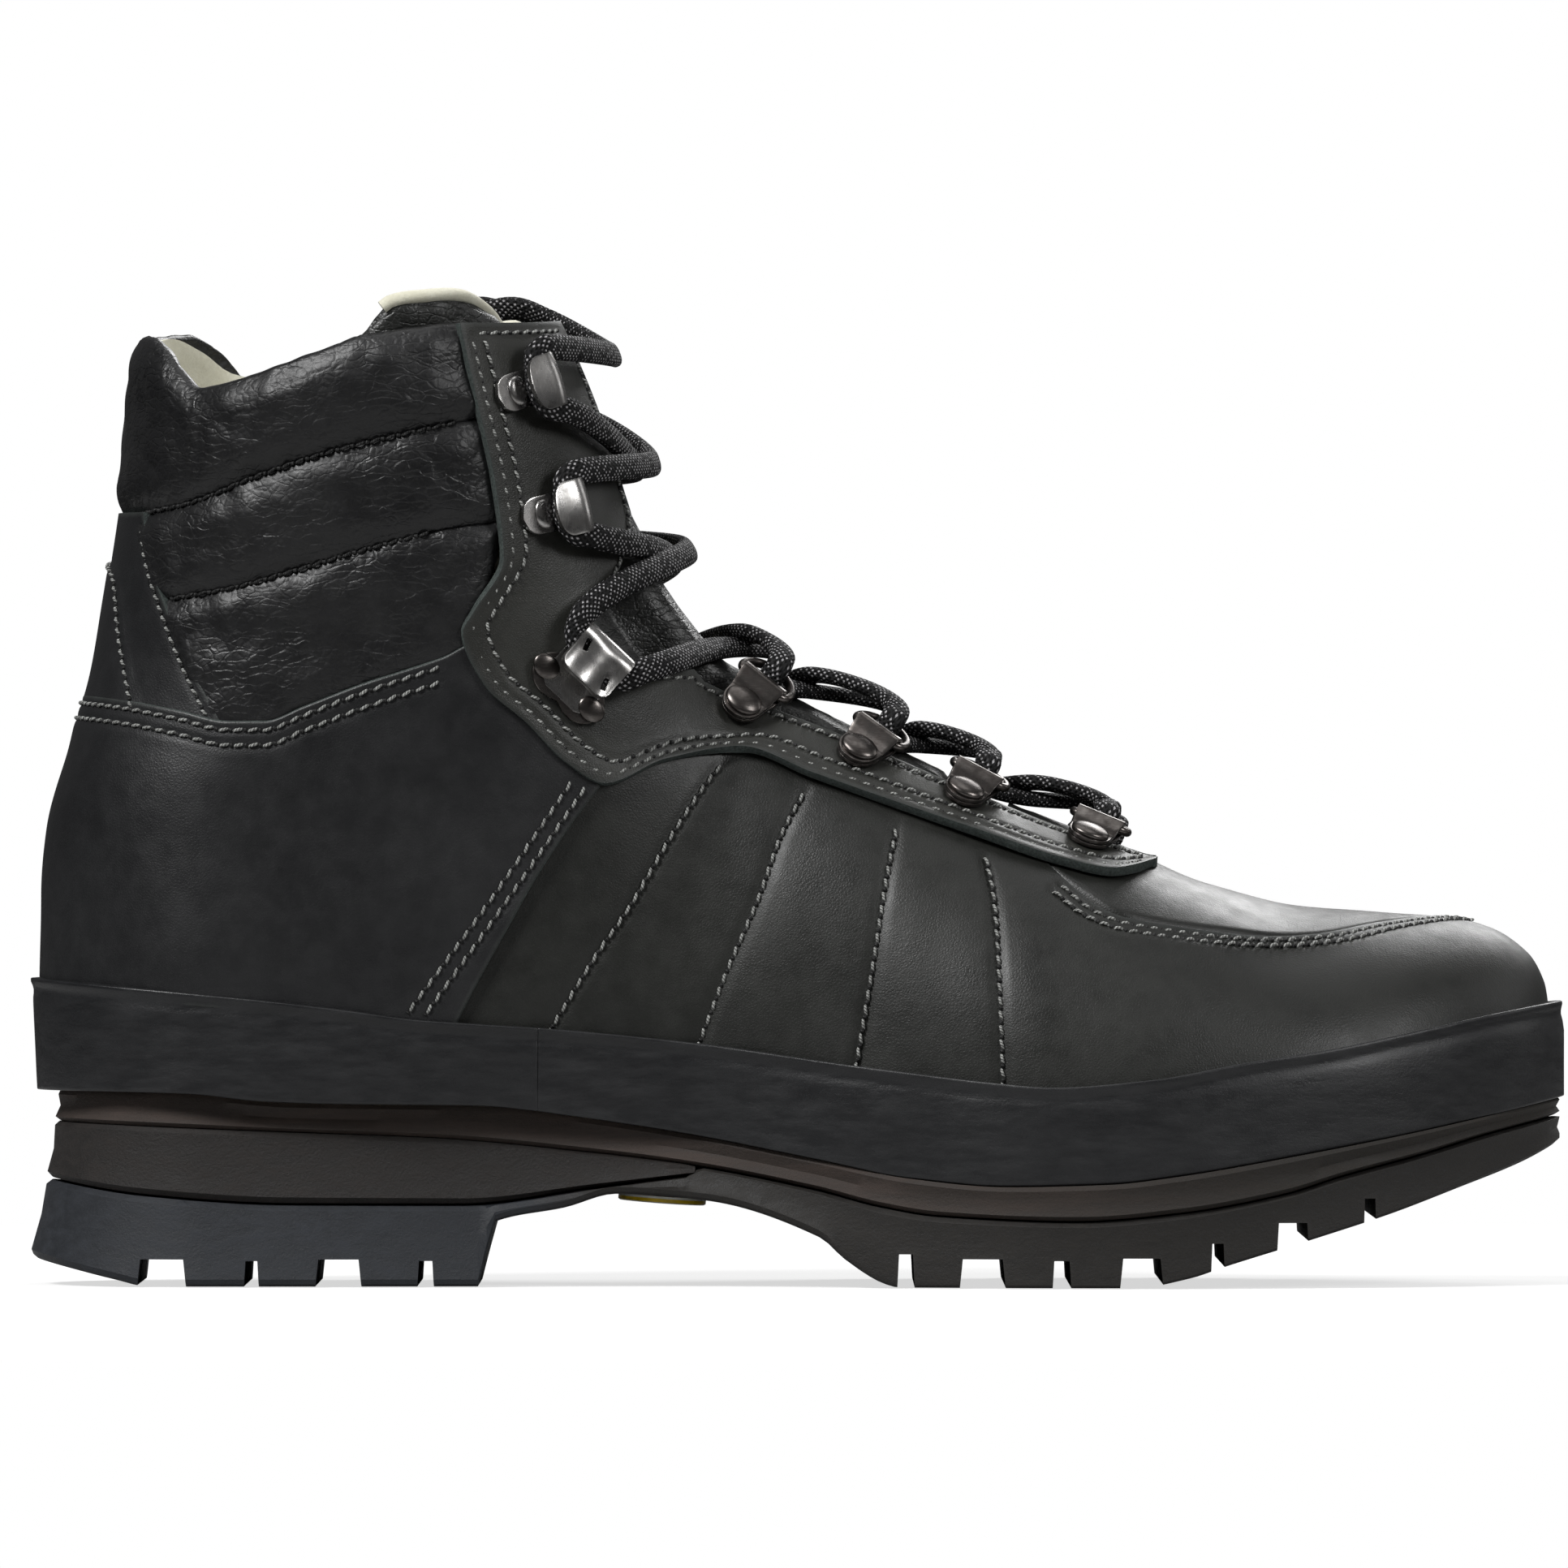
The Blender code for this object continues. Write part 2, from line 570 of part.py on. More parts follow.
def tongue_grid(columns=13, rows=15):
    """Skin points over the tongue, and its depth below them."""
    spots, outward = ridge_frames(TONGUE_TOP_X, TONGUE_END_X, rows)
    outward[:, 1] = 0
    outward[0] = outward[1]
    outward /= np.linalg.norm(outward, axis=-1, keepdims=True)
    share = np.linspace(0, 1, rows)
    spread = np.radians(np.interp(share, [0, 0.35, 0.6, 1], [64, 50, 40, 30]))
    angle = spread[:, None] * np.linspace(-1, 1, columns)
    sideways = np.array([0.0, 1.0, 0.0])
    way = outward[:, None] * np.cos(angle)[..., None] + sideways * np.sin(angle)[..., None]
    origins = np.broadcast_to((spots - outward * TONGUE_CORE)[:, None], way.shape)
    points = cast(origins, way)
    points[0, :, 2] -= 9 * (np.abs(angle[0]) / spread[0]) ** 2
    sunk = np.interp(np.degrees(np.abs(angle)), [10, 25], [0, 1])
    outer = TONGUE_CROWN + (TONGUE_SUNK - TONGUE_CROWN) * sunk
    inner = TONGUE_BACK_CROWN + (TONGUE_BACK_SUNK - TONGUE_BACK_CROWN) * sunk
    end = np.interp(share, [0.86, 1], [0, 1])[:, None]
    return points, outer + (TONGUE_SUNK - outer) * end, inner + (TONGUE_BACK_SUNK - inner) * end


def layered(name, skin_points, outer_depth, inner_depth, look):
    """A closed solid between two depths below a patch of the skin."""
    outward = normals_at(skin_points)
    rows, columns = skin_points.shape[:2]
    layers = [skin_points - outward * depth[..., None] for depth in (outer_depth, inner_depth)]

    def build(made):
        outer, inner = [[made.verts.new(spot * MM) for spot in layer.reshape(-1, 3)] for layer in layers]
        cells = [(r * columns + c, r * columns + c + 1, (r + 1) * columns + c + 1, (r + 1) * columns + c)
                 for r in range(rows - 1) for c in range(columns - 1)]
        for cell in cells:
            made.faces.new([outer[index] for index in cell])
            made.faces.new([inner[index] for index in reversed(cell)])
        ring = [index for index in range(columns)] + [r * columns + columns - 1 for r in range(1, rows)]
        ring += [(rows - 1) * columns + c for c in range(columns - 2, -1, -1)]
        ring += [r * columns for r in range(rows - 2, 0, -1)]
        for one, two in zip(ring, ring[1:] + ring[:1]):
            made.faces.new((outer[two], outer[one], inner[one], inner[two]))
        bmesh.ops.recalc_face_normals(made, faces=made.faces)

    made = add(name, mesh_from(name, build), look)
    smooth(made.data)
    return made


def make_tongue():
    points, outer, inner = tongue_grid()
    layered("tongue", points, outer, inner, SOFT_LEATHER)
    shell("tongue_lining", points[:, 1:-1], inner[:, 1:-1] + 0.5, TONGUE_LINING_THICK, LINING_CLOTH)


# ---------------------------------------------------------------- sole


def slab(name, stations, low, high, inset_low, inset_high, look):
    """A layer of the sole: level across, with its outline drawn in by an amount at the bottom and the top."""

    def outline(x, z, inset):
        width, heel, toe = plan_width(x)
        half = np.sqrt(np.maximum(width**2 * signed_product(heel, toe), 4.0)) - inset(x)
        half = np.maximum(half, 1.5)
        return np.stack([x, centre_line(x) - half, z], -1), np.stack([x, centre_line(x) + half, z], -1)

    x = np.asarray(stations, float)
    rings = np.stack([*outline(x, low(x), inset_low), *outline(x, high(x), inset_high)[::-1]], axis=1)

    def build(made):
        loops = [[made.verts.new(point * MM) for point in ring] for ring in rings]
        for one, two in zip(loops, loops[1:]):
            for index in range(4):
                after = (index + 1) % 4
                made.faces.new((one[index], one[after], two[after], two[index]))
        made.faces.new(loops[0][::-1])
        made.faces.new(loops[-1])
        bmesh.ops.recalc_face_normals(made, faces=made.faces)

    mesh = mesh_from(name, build)
    smooth(mesh)
    return add(name, mesh, look)


def stations(start, end, middle, round_start=True, round_end=True):
    """x places along the sole, closer together where its outline turns round the heel or the toe."""
    turn = 1 - np.cos(np.linspace(0, math.pi / 2, 9))
    first = start + (HEEL_CAP_LENGTH * turn if round_start else np.array([0.0]))
    last = end - ((end - 100) * turn[::-1] if round_end else np.array([0.0]))
    return np.unique(np.round(np.concatenate([first, middle, last]), 3))


def heel_inset(rise):
    """How far the sole's side is drawn in at a height above its foot, fading from heel to toe."""
    return through((-155, rise), (-40, rise * 0.75), (60, 0.9), (155, 0.2))


def box(size, centre):
    def build(made):
        bmesh.ops.create_cube(made, size=1)
        bmesh.ops.scale(made, vec=Vector(size) * MM, verts=made.verts)
        bmesh.ops.translate(made, vec=Vector(centre) * MM, verts=made.verts)

    return build


LUG_GAPS = [(-129.3, -120.8, 5.3), (-108.5, -106.2, 5.0), (-94.2, -86.3, 5.3), (-74.4, -71.8, 5.0),
            (20.0, 22.7, 6.5), (32.5, 40.3, 5.6), (50.4, 53.4, 5.3), (63.9, 71.2, 5.8), (81.4, 83.6, 8.7),
            (94.5, 100.1, 12.7), (111.5, 113.6, 17.4)]
GROOVES = [(-131, -60, 5.0), (14, 92, 4.6)]
GROOVE_Y, GROOVE_WIDTH = 15.5, 4.0
WEDGE_END = -20.0


def outsole_top(x):
    """The outsole's upper face, under the heel wedge and then under the midsole."""
    return np.where(x < WEDGE_END + 2, wedge_bottom(x) - 0.6, midsole_bottom(x) - 0.5)


def make_outsole():
    middle = [-100, -82, -66, -63.2, -62.6, -61.6, -61.0, -60.6, -50, -45.4, -35.7, -28, WEDGE_END,
              WEDGE_END + 1.5, WEDGE_END + 4, -6, 4.5, 9.3, 13, 17.4, 20, 35, 50, 66, 77, 84, 93]
    ends = stations(-152.4, TOE_X + 0.3, middle)
    outsole = slab("outsole", ends, ground, outsole_top, heel_inset(0.2), heel_inset(3.2), HEEL_RUBBER)
    for index, (start, end, top) in enumerate(LUG_GAPS):
        gap = box((end - start, 130, top + 4), ((start + end) / 2, 0, top / 2 - 2))
        boolean(outsole, cutter(f"lug_gap_{index}", mesh_from("lug_gap", gap)), "DIFFERENCE")
    for index, (start, end, top) in enumerate(GROOVES):
        for side in (-1, 1):
            groove = box((end - start, GROOVE_WIDTH, top + 3.9),
                         ((start + end) / 2, side * GROOVE_Y, top / 2 - 1.95))
            boolean(outsole, cutter(f"groove_{index}_{side}", mesh_from("groove", groove)), "DIFFERENCE")


def make_sole_layers():
    slab("heel_wedge", stations(-148.4, WEDGE_END, [-100, -82, -66, -50, -45.4, -35.7, -28], round_end=False),
         wedge_bottom, lambda x: midsole_bottom(x) - GAP,
         heel_inset(3.4), heel_inset(4.9), WEDGE_BROWN)
    slab("midsole", stations(-147.2, TOE_X - 1.4, [-100, -72, -45, -21, 4, 16, 28, 55, 75, 88]),
         lambda x: midsole_bottom(x) + 0.2, lambda x: rand_bottom(x) - GAP,
         heel_inset(5.0), heel_inset(5.8), MIDSOLE_BROWN)
    slab("insole_board", stations(-141.5, 141, [-100, -61, -45, -21, 4, 22, 41, 61, 75, 88]),
         lambda x: rand_bottom(x) + 0.9, lambda x: rand_bottom(x) + 2.7,
         lambda x: np.full_like(x, 12.6), lambda x: np.full_like(x, 12.6), BOARD)
    slab("footbed", stations(-138.9, 134, [-100, -61, -45, -21, 4, 22, 41, 61, 75, 88]),
         lambda x: rand_bottom(x) + 3.1, lambda x: rand_bottom(x) + 7.0,
         lambda x: np.full_like(x, 14.0), lambda x: np.full_like(x, 13.8), FOAM)


INLAY_X, INLAY_LENGTH, INLAY_WIDTH, INLAY_THICK = -26.7, 17.4, 27.0, 1.4


def make_arch_inlay():
    """A plain oval let into the underside of the arch."""

    def build(made):
        bmesh.ops.create_cone(made, cap_ends=True, segments=20, radius1=0.5, radius2=0.5, depth=1)
        size = Vector((INLAY_LENGTH, INLAY_WIDTH, INLAY_THICK)) * MM
        bmesh.ops.scale(made, vec=size, verts=made.verts)
        slope = math.atan2(ground(-18.0) - ground(-35.7), 17.7)
        bmesh.ops.rotate(made, cent=(0, 0, 0), matrix=Matrix.Rotation(-slope, 3, "Y"), verts=made.verts)
        height = (ground(-18.0) + ground(-35.7)) / 2 - INLAY_THICK / 2 - GAP
        bmesh.ops.translate(made, vec=Vector((INLAY_X, 0, height)) * MM, verts=made.verts)

    mesh = mesh_from("arch_inlay", build)
    smooth(mesh)
    add("arch_inlay", mesh, INLAY)


SHANK_FROM, SHANK_TO, SHANK_WIDTH, SHANK_THICK = -112.0, 12.0, 15.0, 1.0


def make_shank():
    """A steel strip sunk into a slot in the top of the midsole."""

    def strip(extra):
        def build(made):
            x = np.linspace(SHANK_FROM - extra, SHANK_TO + extra, 12)
            top = rand_bottom(x) - GAP - 0.2 + (3 if extra else 0)
            low = rand_bottom(x) - GAP - 0.2 - SHANK_THICK - extra
            half = SHANK_WIDTH / 2 + extra
            rings = [[(px, -half, pl), (px, half, pl), (px, half, pt), (px, -half, pt)]
                     for px, pl, pt in zip(x, low, top)]
            loops = [[made.verts.new(Vector(point) * MM) for point in ring] for ring in rings]
            for one, two in zip(loops, loops[1:]):
                for index in range(4):
                    after = (index + 1) % 4
                    made.faces.new((one[index], one[after], two[after], two[index]))
            made.faces.new(loops[0][::-1])
            made.faces.new(loops[-1])
            bmesh.ops.recalc_face_normals(made, faces=made.faces)

        return build

    add("shank", mesh_from("shank", strip(0)), STEEL)
    slot = cutter("shank_slot", mesh_from("shank_slot", strip(GAP)))
    boolean(bpy.data.objects["midsole"], slot, "DIFFERENCE")


# ---------------------------------------------------------------- hardware


def seat(x, z, side, toward, lift=0.0):
    """A frame over the skin: z axis outwards, y axis along the side-view direction `toward`."""
    place = on_side(x, z, side)
    outward = Vector(normals_at(place))
    way = Vector((toward[0], 0, toward[1]))
    way = (way - way.dot(outward) * outward).normalized()
    across = way.cross(outward)
    turn = Matrix((across, way, outward)).transposed().to_4x4()
    return Matrix.Translation((Vector(place) + outward * lift) * MM) @ turn


D_SEATS = {1: (-11.3, 113.6, (0.62, 0.78), 0.9), 2: (11.8, 104.7, (0.58, 0.81), 0.0),
           3: (32.7, 96.4, (0.47, 0.88), 0.0), 4: (57.3, 87.6, (0.38, 0.92), 0.0)}
HOOK_SEATS = {"top": (-56.0, 175.9, (0.95, 0.30)), "low": (-50.6, 151.8, (0.97, 0.23))}
LOCK_SEAT = (-45.0, 118.0, (0.69, 0.72))
BAR_Y = STRAP_LENGTH - 3.2
BAR_Z = STAND_OFF + LOOP_RADIUS


def make_clip_mesh():
    """A strap folded round the ring's bar: a plate with a tube across its end."""
    size = (STRAP_WIDTH, STRAP_LENGTH, STRAP_THICK)
    centre = (0, BAR_Y - STRAP_LENGTH / 2 - 0.4, STAND_OFF + STRAP_THICK / 2)
    plate = cutter("clip_plate", mesh_from("clip_plate", box(size, centre)))

    def tube(radius, length):
        def build(made):
            bmesh.ops.create_cone(made, cap_ends=True, segments=14, radius1=radius * MM, radius2=radius * MM,
                                  depth=length * MM)
            level = Matrix.Rotation(math.pi / 2, 3, "Y")
            bmesh.ops.rotate(made, cent=(0, 0, 0), matrix=level, verts=made.verts)
            bmesh.ops.translate(made, vec=(0, BAR_Y * MM, BAR_Z * MM), verts=made.verts)

        return build

    loop = mesh_from("clip_loop", tube(LOOP_RADIUS, STRAP_WIDTH - 0.02))
    boolean(plate, cutter("clip_loop", loop), "UNION")
    bore = mesh_from("clip_bore", tube(RING_BORE, STRAP_WIDTH + 4))
    boolean(plate, cutter("clip_bore", bore), "DIFFERENCE")
    bpy.context.view_layer.update()
    mesh = bpy.data.meshes.new_from_object(plate.evaluated_get(bpy.context.evaluated_depsgraph_get()))
    mesh.name = "ring_clip"
    return mesh


def make_rivet_mesh(radius=RIVET_RADIUS, height=RIVET_HEIGHT):
    """A domed head with a flat underside, turned round its axis."""

    def build(made):
        arc = [(radius * math.cos(a), height * math.sin(a)) for a in np.radians([0, 25, 50, 72])]
        outline = [(0, 0)] + arc + [(0, height)]
        verts = [made.verts.new((x * MM, 0, z * MM)) for x, z in outline]
        edges = [made.edges.new(pair) for pair in zip(verts, verts[1:])]
        bmesh.ops.spin(made, geom=verts + edges, cent=(0, 0, 0), axis=(0, 0, 1), angle=2 * math.pi, steps=10,
                       use_merge=True)
        bmesh.ops.remove_doubles(made, verts=made.verts, dist=1e-6)
        bmesh.ops.recalc_face_normals(made, faces=made.faces)

    mesh = mesh_from("rivet", build)
    smooth(mesh)
    return mesh


def ring_outline():
    """A D: a straight bar and a round bow, in the plane of the bar and the tilted reach."""
    half = RING_WIDTH / 2 - RING_WIRE_RADIUS
    corner = 1.6
    bow = [(half * math.cos(turn), corner + (RING_REACH - corner) * math.sin(turn))
           for turn in np.radians(range(0, 181, 30))]
    return [(-half + 0.3, 0), (half - 0.3, 0)] + bow


def make_ring(name, frame):
    """The D-ring, with its origin on its bar, its bow leaning down towards the throat."""
    line = bpy.data.curves.new(name, "CURVE")
    line.dimensions = "3D"
    line.bevel_depth = RING_WIRE_RADIUS * MM
    line.bevel_resolution = 1
    spline = line.splines.new("POLY")
    outline = ring_outline()
    spline.points.add(len(outline) - 1)
    tilt = math.radians(RING_TILT)
    for point, (x, y) in zip(spline.points, outline):
        point.co = (x * MM, y * math.cos(tilt) * MM, y * math.sin(tilt) * MM, 1)
    spline.use_cyclic_u = True
    line.materials.append(GUNMETAL)
    ring = bpy.data.objects.new(name, line)
    BOOT.objects.link(ring)
    ring.matrix_world = frame @ Matrix.Translation((0, BAR_Y * MM, BAR_Z * MM))
    return ring


def strip_mesh(name, profile, width, thickness):
    """A bent strip of sheet metal: a line in the y-z plane, spread along x and thickened."""

    def build(made):
        bmesh.ops.create_grid(made, x_segments=1, y_segments=len(profile) - 1, size=1)
        made.verts.ensure_lookup_table()
        for index, (y, z, narrow) in enumerate(profile):
            for side in (0, 1):
                made.verts[2 * index + side].co = Vector(((2 * side - 1) * width * narrow / 2, y, z)) * MM
        made.normal_update()

    guide = cutter(name, mesh_from(name, build))
    solidify = guide.modifiers.new("thickness", "SOLIDIFY")
    solidify.thickness = thickness * MM
    solidify.offset = 0
    solidify.use_even_offset = True
    return guide


def curled(start, length, gap, tip, sheet):
    """The line of a hook: flat on the leather, round at the front, and back over to its tip."""
    low = STAND_OFF + sheet / 2
    radius = (gap + sheet) / 2
    bend = [(length + radius * math.sin(a), low + radius * (1 - math.cos(a)), 1.0)
            for a in np.radians([0, 30, 60, 90, 120, 150, 180])]
    end = (length - tip, low + 2 * radius + 0.5, 0.62)
    return [(start, low, 0.75)] + bend + [end]


def joined(name, base, others):
    """One mesh from the union of a base piece and others."""
    for other in others:
        boolean(base, other, "UNION")
    bpy.context.view_layer.update()
    mesh = bpy.data.meshes.new_from_object(base.evaluated_get(bpy.context.evaluated_depsgraph_get()))
    mesh.name = name
    return mesh


def rivet_at(name, x, y, rivet_mesh):
    dome = cutter(name, rivet_mesh.copy())
    dome.data.transform(Matrix.Translation(Vector((x, y, STAND_OFF + HOOK_SHEET - 0.3)) * MM))
    return dome


def make_hook_mesh():
    profile = curled(-3.4, HOOK_LENGTH, HOOK_GAP, 5.0, HOOK_SHEET)
    strip = strip_mesh("hook_strip", profile, HOOK_WIDTH, HOOK_SHEET)
    dome = rivet_at("hook_rivet", 0, 0, make_rivet_mesh(2.6, 1.2))
    return joined("speed_hook", strip, [dome])


def make_lock_mesh():
    """The locking hook: a riveted base plate whose front end curls back over the lace."""
    profile = curled(-3.2, LOCK_LENGTH, HOOK_GAP, 5.6, HOOK_SHEET)
    strip = strip_mesh("lock_strip", profile, LOCK_WIDTH, HOOK_SHEET)
    domes = [rivet_at(f"lock_rivet_{side}", side * 6.2, -0.4, make_rivet_mesh(3.0, 1.2)) for side in (-1, 1)]
    base = box((17.5, 7.0, HOOK_SHEET - 0.02), (0, -0.4, STAND_OFF + HOOK_SHEET / 2))
    plate = cutter("lock_plate", mesh_from("lock_plate", base))
    return joined("lock_hook", strip, [plate] + domes)


def place(name, mesh, frame, look):
    made = bpy.data.objects.new(name, mesh.copy())
    made.data.materials.clear()
    made.data.materials.append(look)
    BOOT.objects.link(made)
    made.matrix_world = frame
    return made


def make_hardware():
    clip, rivet = make_clip_mesh(), make_rivet_mesh()
    hook, lock = make_hook_mesh(), make_lock_mesh()
    for side, word in ((-1, "lateral"), (1, "medial")):
        for number, (x, z, toward, lift) in D_SEATS.items():
            frame = seat(x, z, side, toward, lift)
            place(f"ring_clip_{number}_{word}", clip, frame, GUNMETAL)
            make_ring(f"lace_ring_{number}_{word}", frame)
            on_plate = Matrix.Translation(Vector((0, -0.2, STAND_OFF + STRAP_THICK + GAP)) * MM)
            place(f"clip_rivet_{number}_{word}", rivet, frame @ on_plate, GUNMETAL)
        for level, (x, z, toward) in HOOK_SEATS.items():
            place(f"speed_hook_{level}_{word}", hook, seat(x, z, side, toward), STEEL)
        x, z, toward = LOCK_SEAT
        place(f"lock_hook_{word}", lock, seat(x, z, side, toward), STEEL)


# ---------------------------------------------------------------- lace


def ring_turn(frame):
    """The lace's turn round a ring's bow: over it, down through the ring, and back under it."""
    tilt = math.radians(RING_TILT)
    along = Vector((0, math.cos(tilt), math.sin(tilt)))
    above = Vector((0, -math.sin(tilt), math.cos(tilt)))
    bow = Vector((0, BAR_Y, BAR_Z)) + along * RING_REACH
    turn = RING_WIRE_RADIUS + LACE_RADIUS + 0.7
    heelwards = Vector((-1.2 if frame.col[0].x > 0 else 1.2, 0, 0))
    spots = [bow + above * turn + along * 0.8 + heelwards, bow - along * turn * 0.72 + above * turn * 0.72,
             bow - along * turn, bow - along * turn * 0.72 - above * turn * 0.72,
             bow - above * turn + along * 0.8 - heelwards]
    return [frame @ (spot * MM) / MM for spot in spots]


def hook_turn(frame, length, width):
    """The lace's turn round the bend of a hook, from its upper side to its lower side."""
    height = STAND_OFF + HOOK_SHEET + HOOK_GAP / 2
    half = width / 2 + LACE_RADIUS + 0.6
    spots = [(half, length + 3.0, height), (half * 0.8, length - 0.4, height), (0, length - 1.9, height),
             (-half * 0.8, length - 0.4, height), (-half, length + 3.0, height)]
    return [frame @ (Vector(spot) * MM) / MM for spot in spots]


CROSSINGS = [(-41.5, 5.4), (-34.0, 5.6), (-26.5, 5.6), (-13.0, 5.0), (1.8, 3.9), (23.4, 3.8), (45.2, 3.8)]
LAST_CROSSING = (62.3, 2.6)
UNDER_DROP = 3.4


def ridge_point(x, lift):
    spot = np.array([x, centre_line(x), ridge_line(x)], float)
    return Vector(spot + normals_at(spot) * lift)


def upper_first(spots):
    return spots if spots[0].z > spots[-1].z else spots[::-1]


def lace_turns(side):
    """The turns of one end of the lace in order, changing sides at each crossing."""
    turns = []
    for level in ("top", "low"):
        x, z, toward = HOOK_SEATS[level]
        turns.append(upper_first(hook_turn(seat(x, z, side, toward), HOOK_LENGTH, HOOK_WIDTH)))
        side = -side
    x, z, toward = LOCK_SEAT
    turns.append(upper_first(hook_turn(seat(x, z, side, toward), LOCK_LENGTH, LOCK_WIDTH)))
    for x, z, toward, lift in D_SEATS.values():
        side = -side
        turns.append(ring_turn(seat(x, z, side, toward, lift)))
    return turns


def crossed(turns, crossings, over):
    """The turns with a crossing of the ridge before each, over and under the other strand in turn."""
    spots = []
    for turn, (cross_x, lift) in zip(turns, crossings):
        spots.append(ridge_point(cross_x, lift if over else lift - UNDER_DROP))
        spots += turn
        over = not over
    return spots


def half_lace(first_side):
    """Half of the lace, from its tucked end down to the lowest ring it threads.

    Both ends are tucked in on the inner side: one crosses the ridge first, the other goes straight up.
    """
    turns = lace_turns(first_side)
    if first_side < 0:
        return tucked_end(0.0) + crossed(turns, CROSSINGS, over=True)
    return tucked_end(-6.5) + turns[0][1:] + crossed(turns[1:], CROSSINGS[1:], over=True)


def tucked_end(back):
    """From inside the shaft, up between lining and tongue, and over the top edge of the inner facing."""
    spots = []
    for x, z, depth in ((-66.5, 150, 9.5), (-64.5, 170, 9.8), (-61.5, 186, 9.8), (-58.5, 193.8, 5.6),
                        (-55.5, 194.2, 1.5), (-52.0, 190.5, -2.6)):
        on_skin = on_side(x + back, z, 1)
        spots.append(Vector(on_skin - normals_at(on_skin) * depth))
    return spots


def smooth_points(spots, turn=32.0, longest=14.0):
    """Points along a smooth line through the spots, closer together where it bends."""
    points = np.array([tuple(spot) for spot in spots])
    dense = route(points, 2400)
    kept = [0]
    heading = dense[1] - dense[0]
    for index in range(1, len(dense) - 1):
        way = dense[index + 1] - dense[index]
        cosine = way @ heading / (np.linalg.norm(way) * np.linalg.norm(heading))
        bent = math.degrees(math.acos(min(1, cosine)))
        if bent > turn or np.linalg.norm(dense[index] - dense[kept[-1]]) > longest:
            kept.append(index)
            heading = way
    return dense[kept + [len(dense) - 1]]


def tube(name, points, radius, look, resolution):
    line = bpy.data.curves.new(name, "CURVE")
    line.dimensions = "3D"
    line.bevel_depth = radius * MM
    line.bevel_resolution = resolution
    line.use_fill_caps = True
    spline = line.splines.new("POLY")
    spline.points.add(len(points) - 1)
    for spot, point in zip(spline.points, points):
        spot.co = (*(np.asarray(point) * MM), 1)
    line.materials.append(look)
    made = bpy.data.objects.new(name, line)
    BOOT.objects.link(made)
    return made


AGLET_LENGTH, AGLET_RADIUS = 16.0, 1.4


def make_lace():
    spots = half_lace(-1) + [ridge_point(*LAST_CROSSING)] + half_lace(1)[::-1]
    points = smooth_points(spots)
    tube("lace", points, LACE_RADIUS, BRAID, 2)
    ends = (("lace_tip_first", points[0], points[1]), ("lace_tip_second", points[-1], points[-2]))
    for name, end, before in ends:
        way = (end - before) / np.linalg.norm(end - before)
        start = end + way * GAP
        tube(name, [start, start + way * AGLET_LENGTH], AGLET_RADIUS, CLEAR_TIP, 2)


def main():
    make_outsole()
    make_sole_layers()
    make_shank()
    make_arch_inlay()
    make_rand_heel()
    make_rand_toe()
    make_vamp()
    make_vamp_plug()
    make_heel_quarter()
    make_heel_counter()
    make_toe_puff()
    make_lining_toe()
    make_lining_quarter()
    make_collar()
    make_backstay()
    make_facings()
    make_tongue()
    make_hardware()
    make_lace()


main()
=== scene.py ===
"""The looks of the leather mountaineering boot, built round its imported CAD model.

Lengths are millimetres unless a name says otherwise; MM turns them into metres. The leather panels lie
on one smooth skin, whose half width is given for every place in the side view. Each panel is a fine
patch of that skin with its own relief: seams, puffed leather, creases and cut edges.
"""

import math

import bmesh
import bpy
import numpy as np
from mathutils import Matrix, Vector, kdtree


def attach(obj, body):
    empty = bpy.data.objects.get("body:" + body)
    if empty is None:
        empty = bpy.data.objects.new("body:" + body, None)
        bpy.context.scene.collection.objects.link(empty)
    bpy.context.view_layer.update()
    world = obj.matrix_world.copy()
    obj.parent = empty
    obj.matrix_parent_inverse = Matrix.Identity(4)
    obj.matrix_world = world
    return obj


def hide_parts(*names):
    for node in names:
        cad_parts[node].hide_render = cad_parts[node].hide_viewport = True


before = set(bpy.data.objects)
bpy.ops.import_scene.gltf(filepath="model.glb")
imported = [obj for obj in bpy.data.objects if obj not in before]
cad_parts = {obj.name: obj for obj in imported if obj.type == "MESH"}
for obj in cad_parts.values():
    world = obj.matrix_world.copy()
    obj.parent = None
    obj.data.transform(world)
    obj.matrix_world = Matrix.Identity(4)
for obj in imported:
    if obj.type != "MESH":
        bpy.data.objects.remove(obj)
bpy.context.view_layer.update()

MM = 0.001
BOOT = "boot"
SIDES = ((-1, "lateral"), (1, "medial"))

TOE_X = 151.6
HEEL_X = -152.0
HEEL_CAP_LENGTH = 36.0
TOE_CAP_START = 70.0
SOLE_HALF_WIDTH = 54.6
UPPER_INSET = 3.2
GAP = 0.3

# Depths below the skin of each visible layer's outer face, and its thickness
RAND_DEPTH, RAND_THICK = -0.8, 2.3
OVERLAY_DEPTH, OVERLAY_THICK = 0.0, 1.7
BASE_DEPTH, BASE_THICK = 1.75, 2.0
PAD_SEAM_DEPTH, PAD_BACK_DEPTH = 2.2, 4.3
LINING_DEPTH, LINING_THICK = 5.0, 0.9
UNWORN = 9.0  # stored as the distance to a cut edge where there is none near

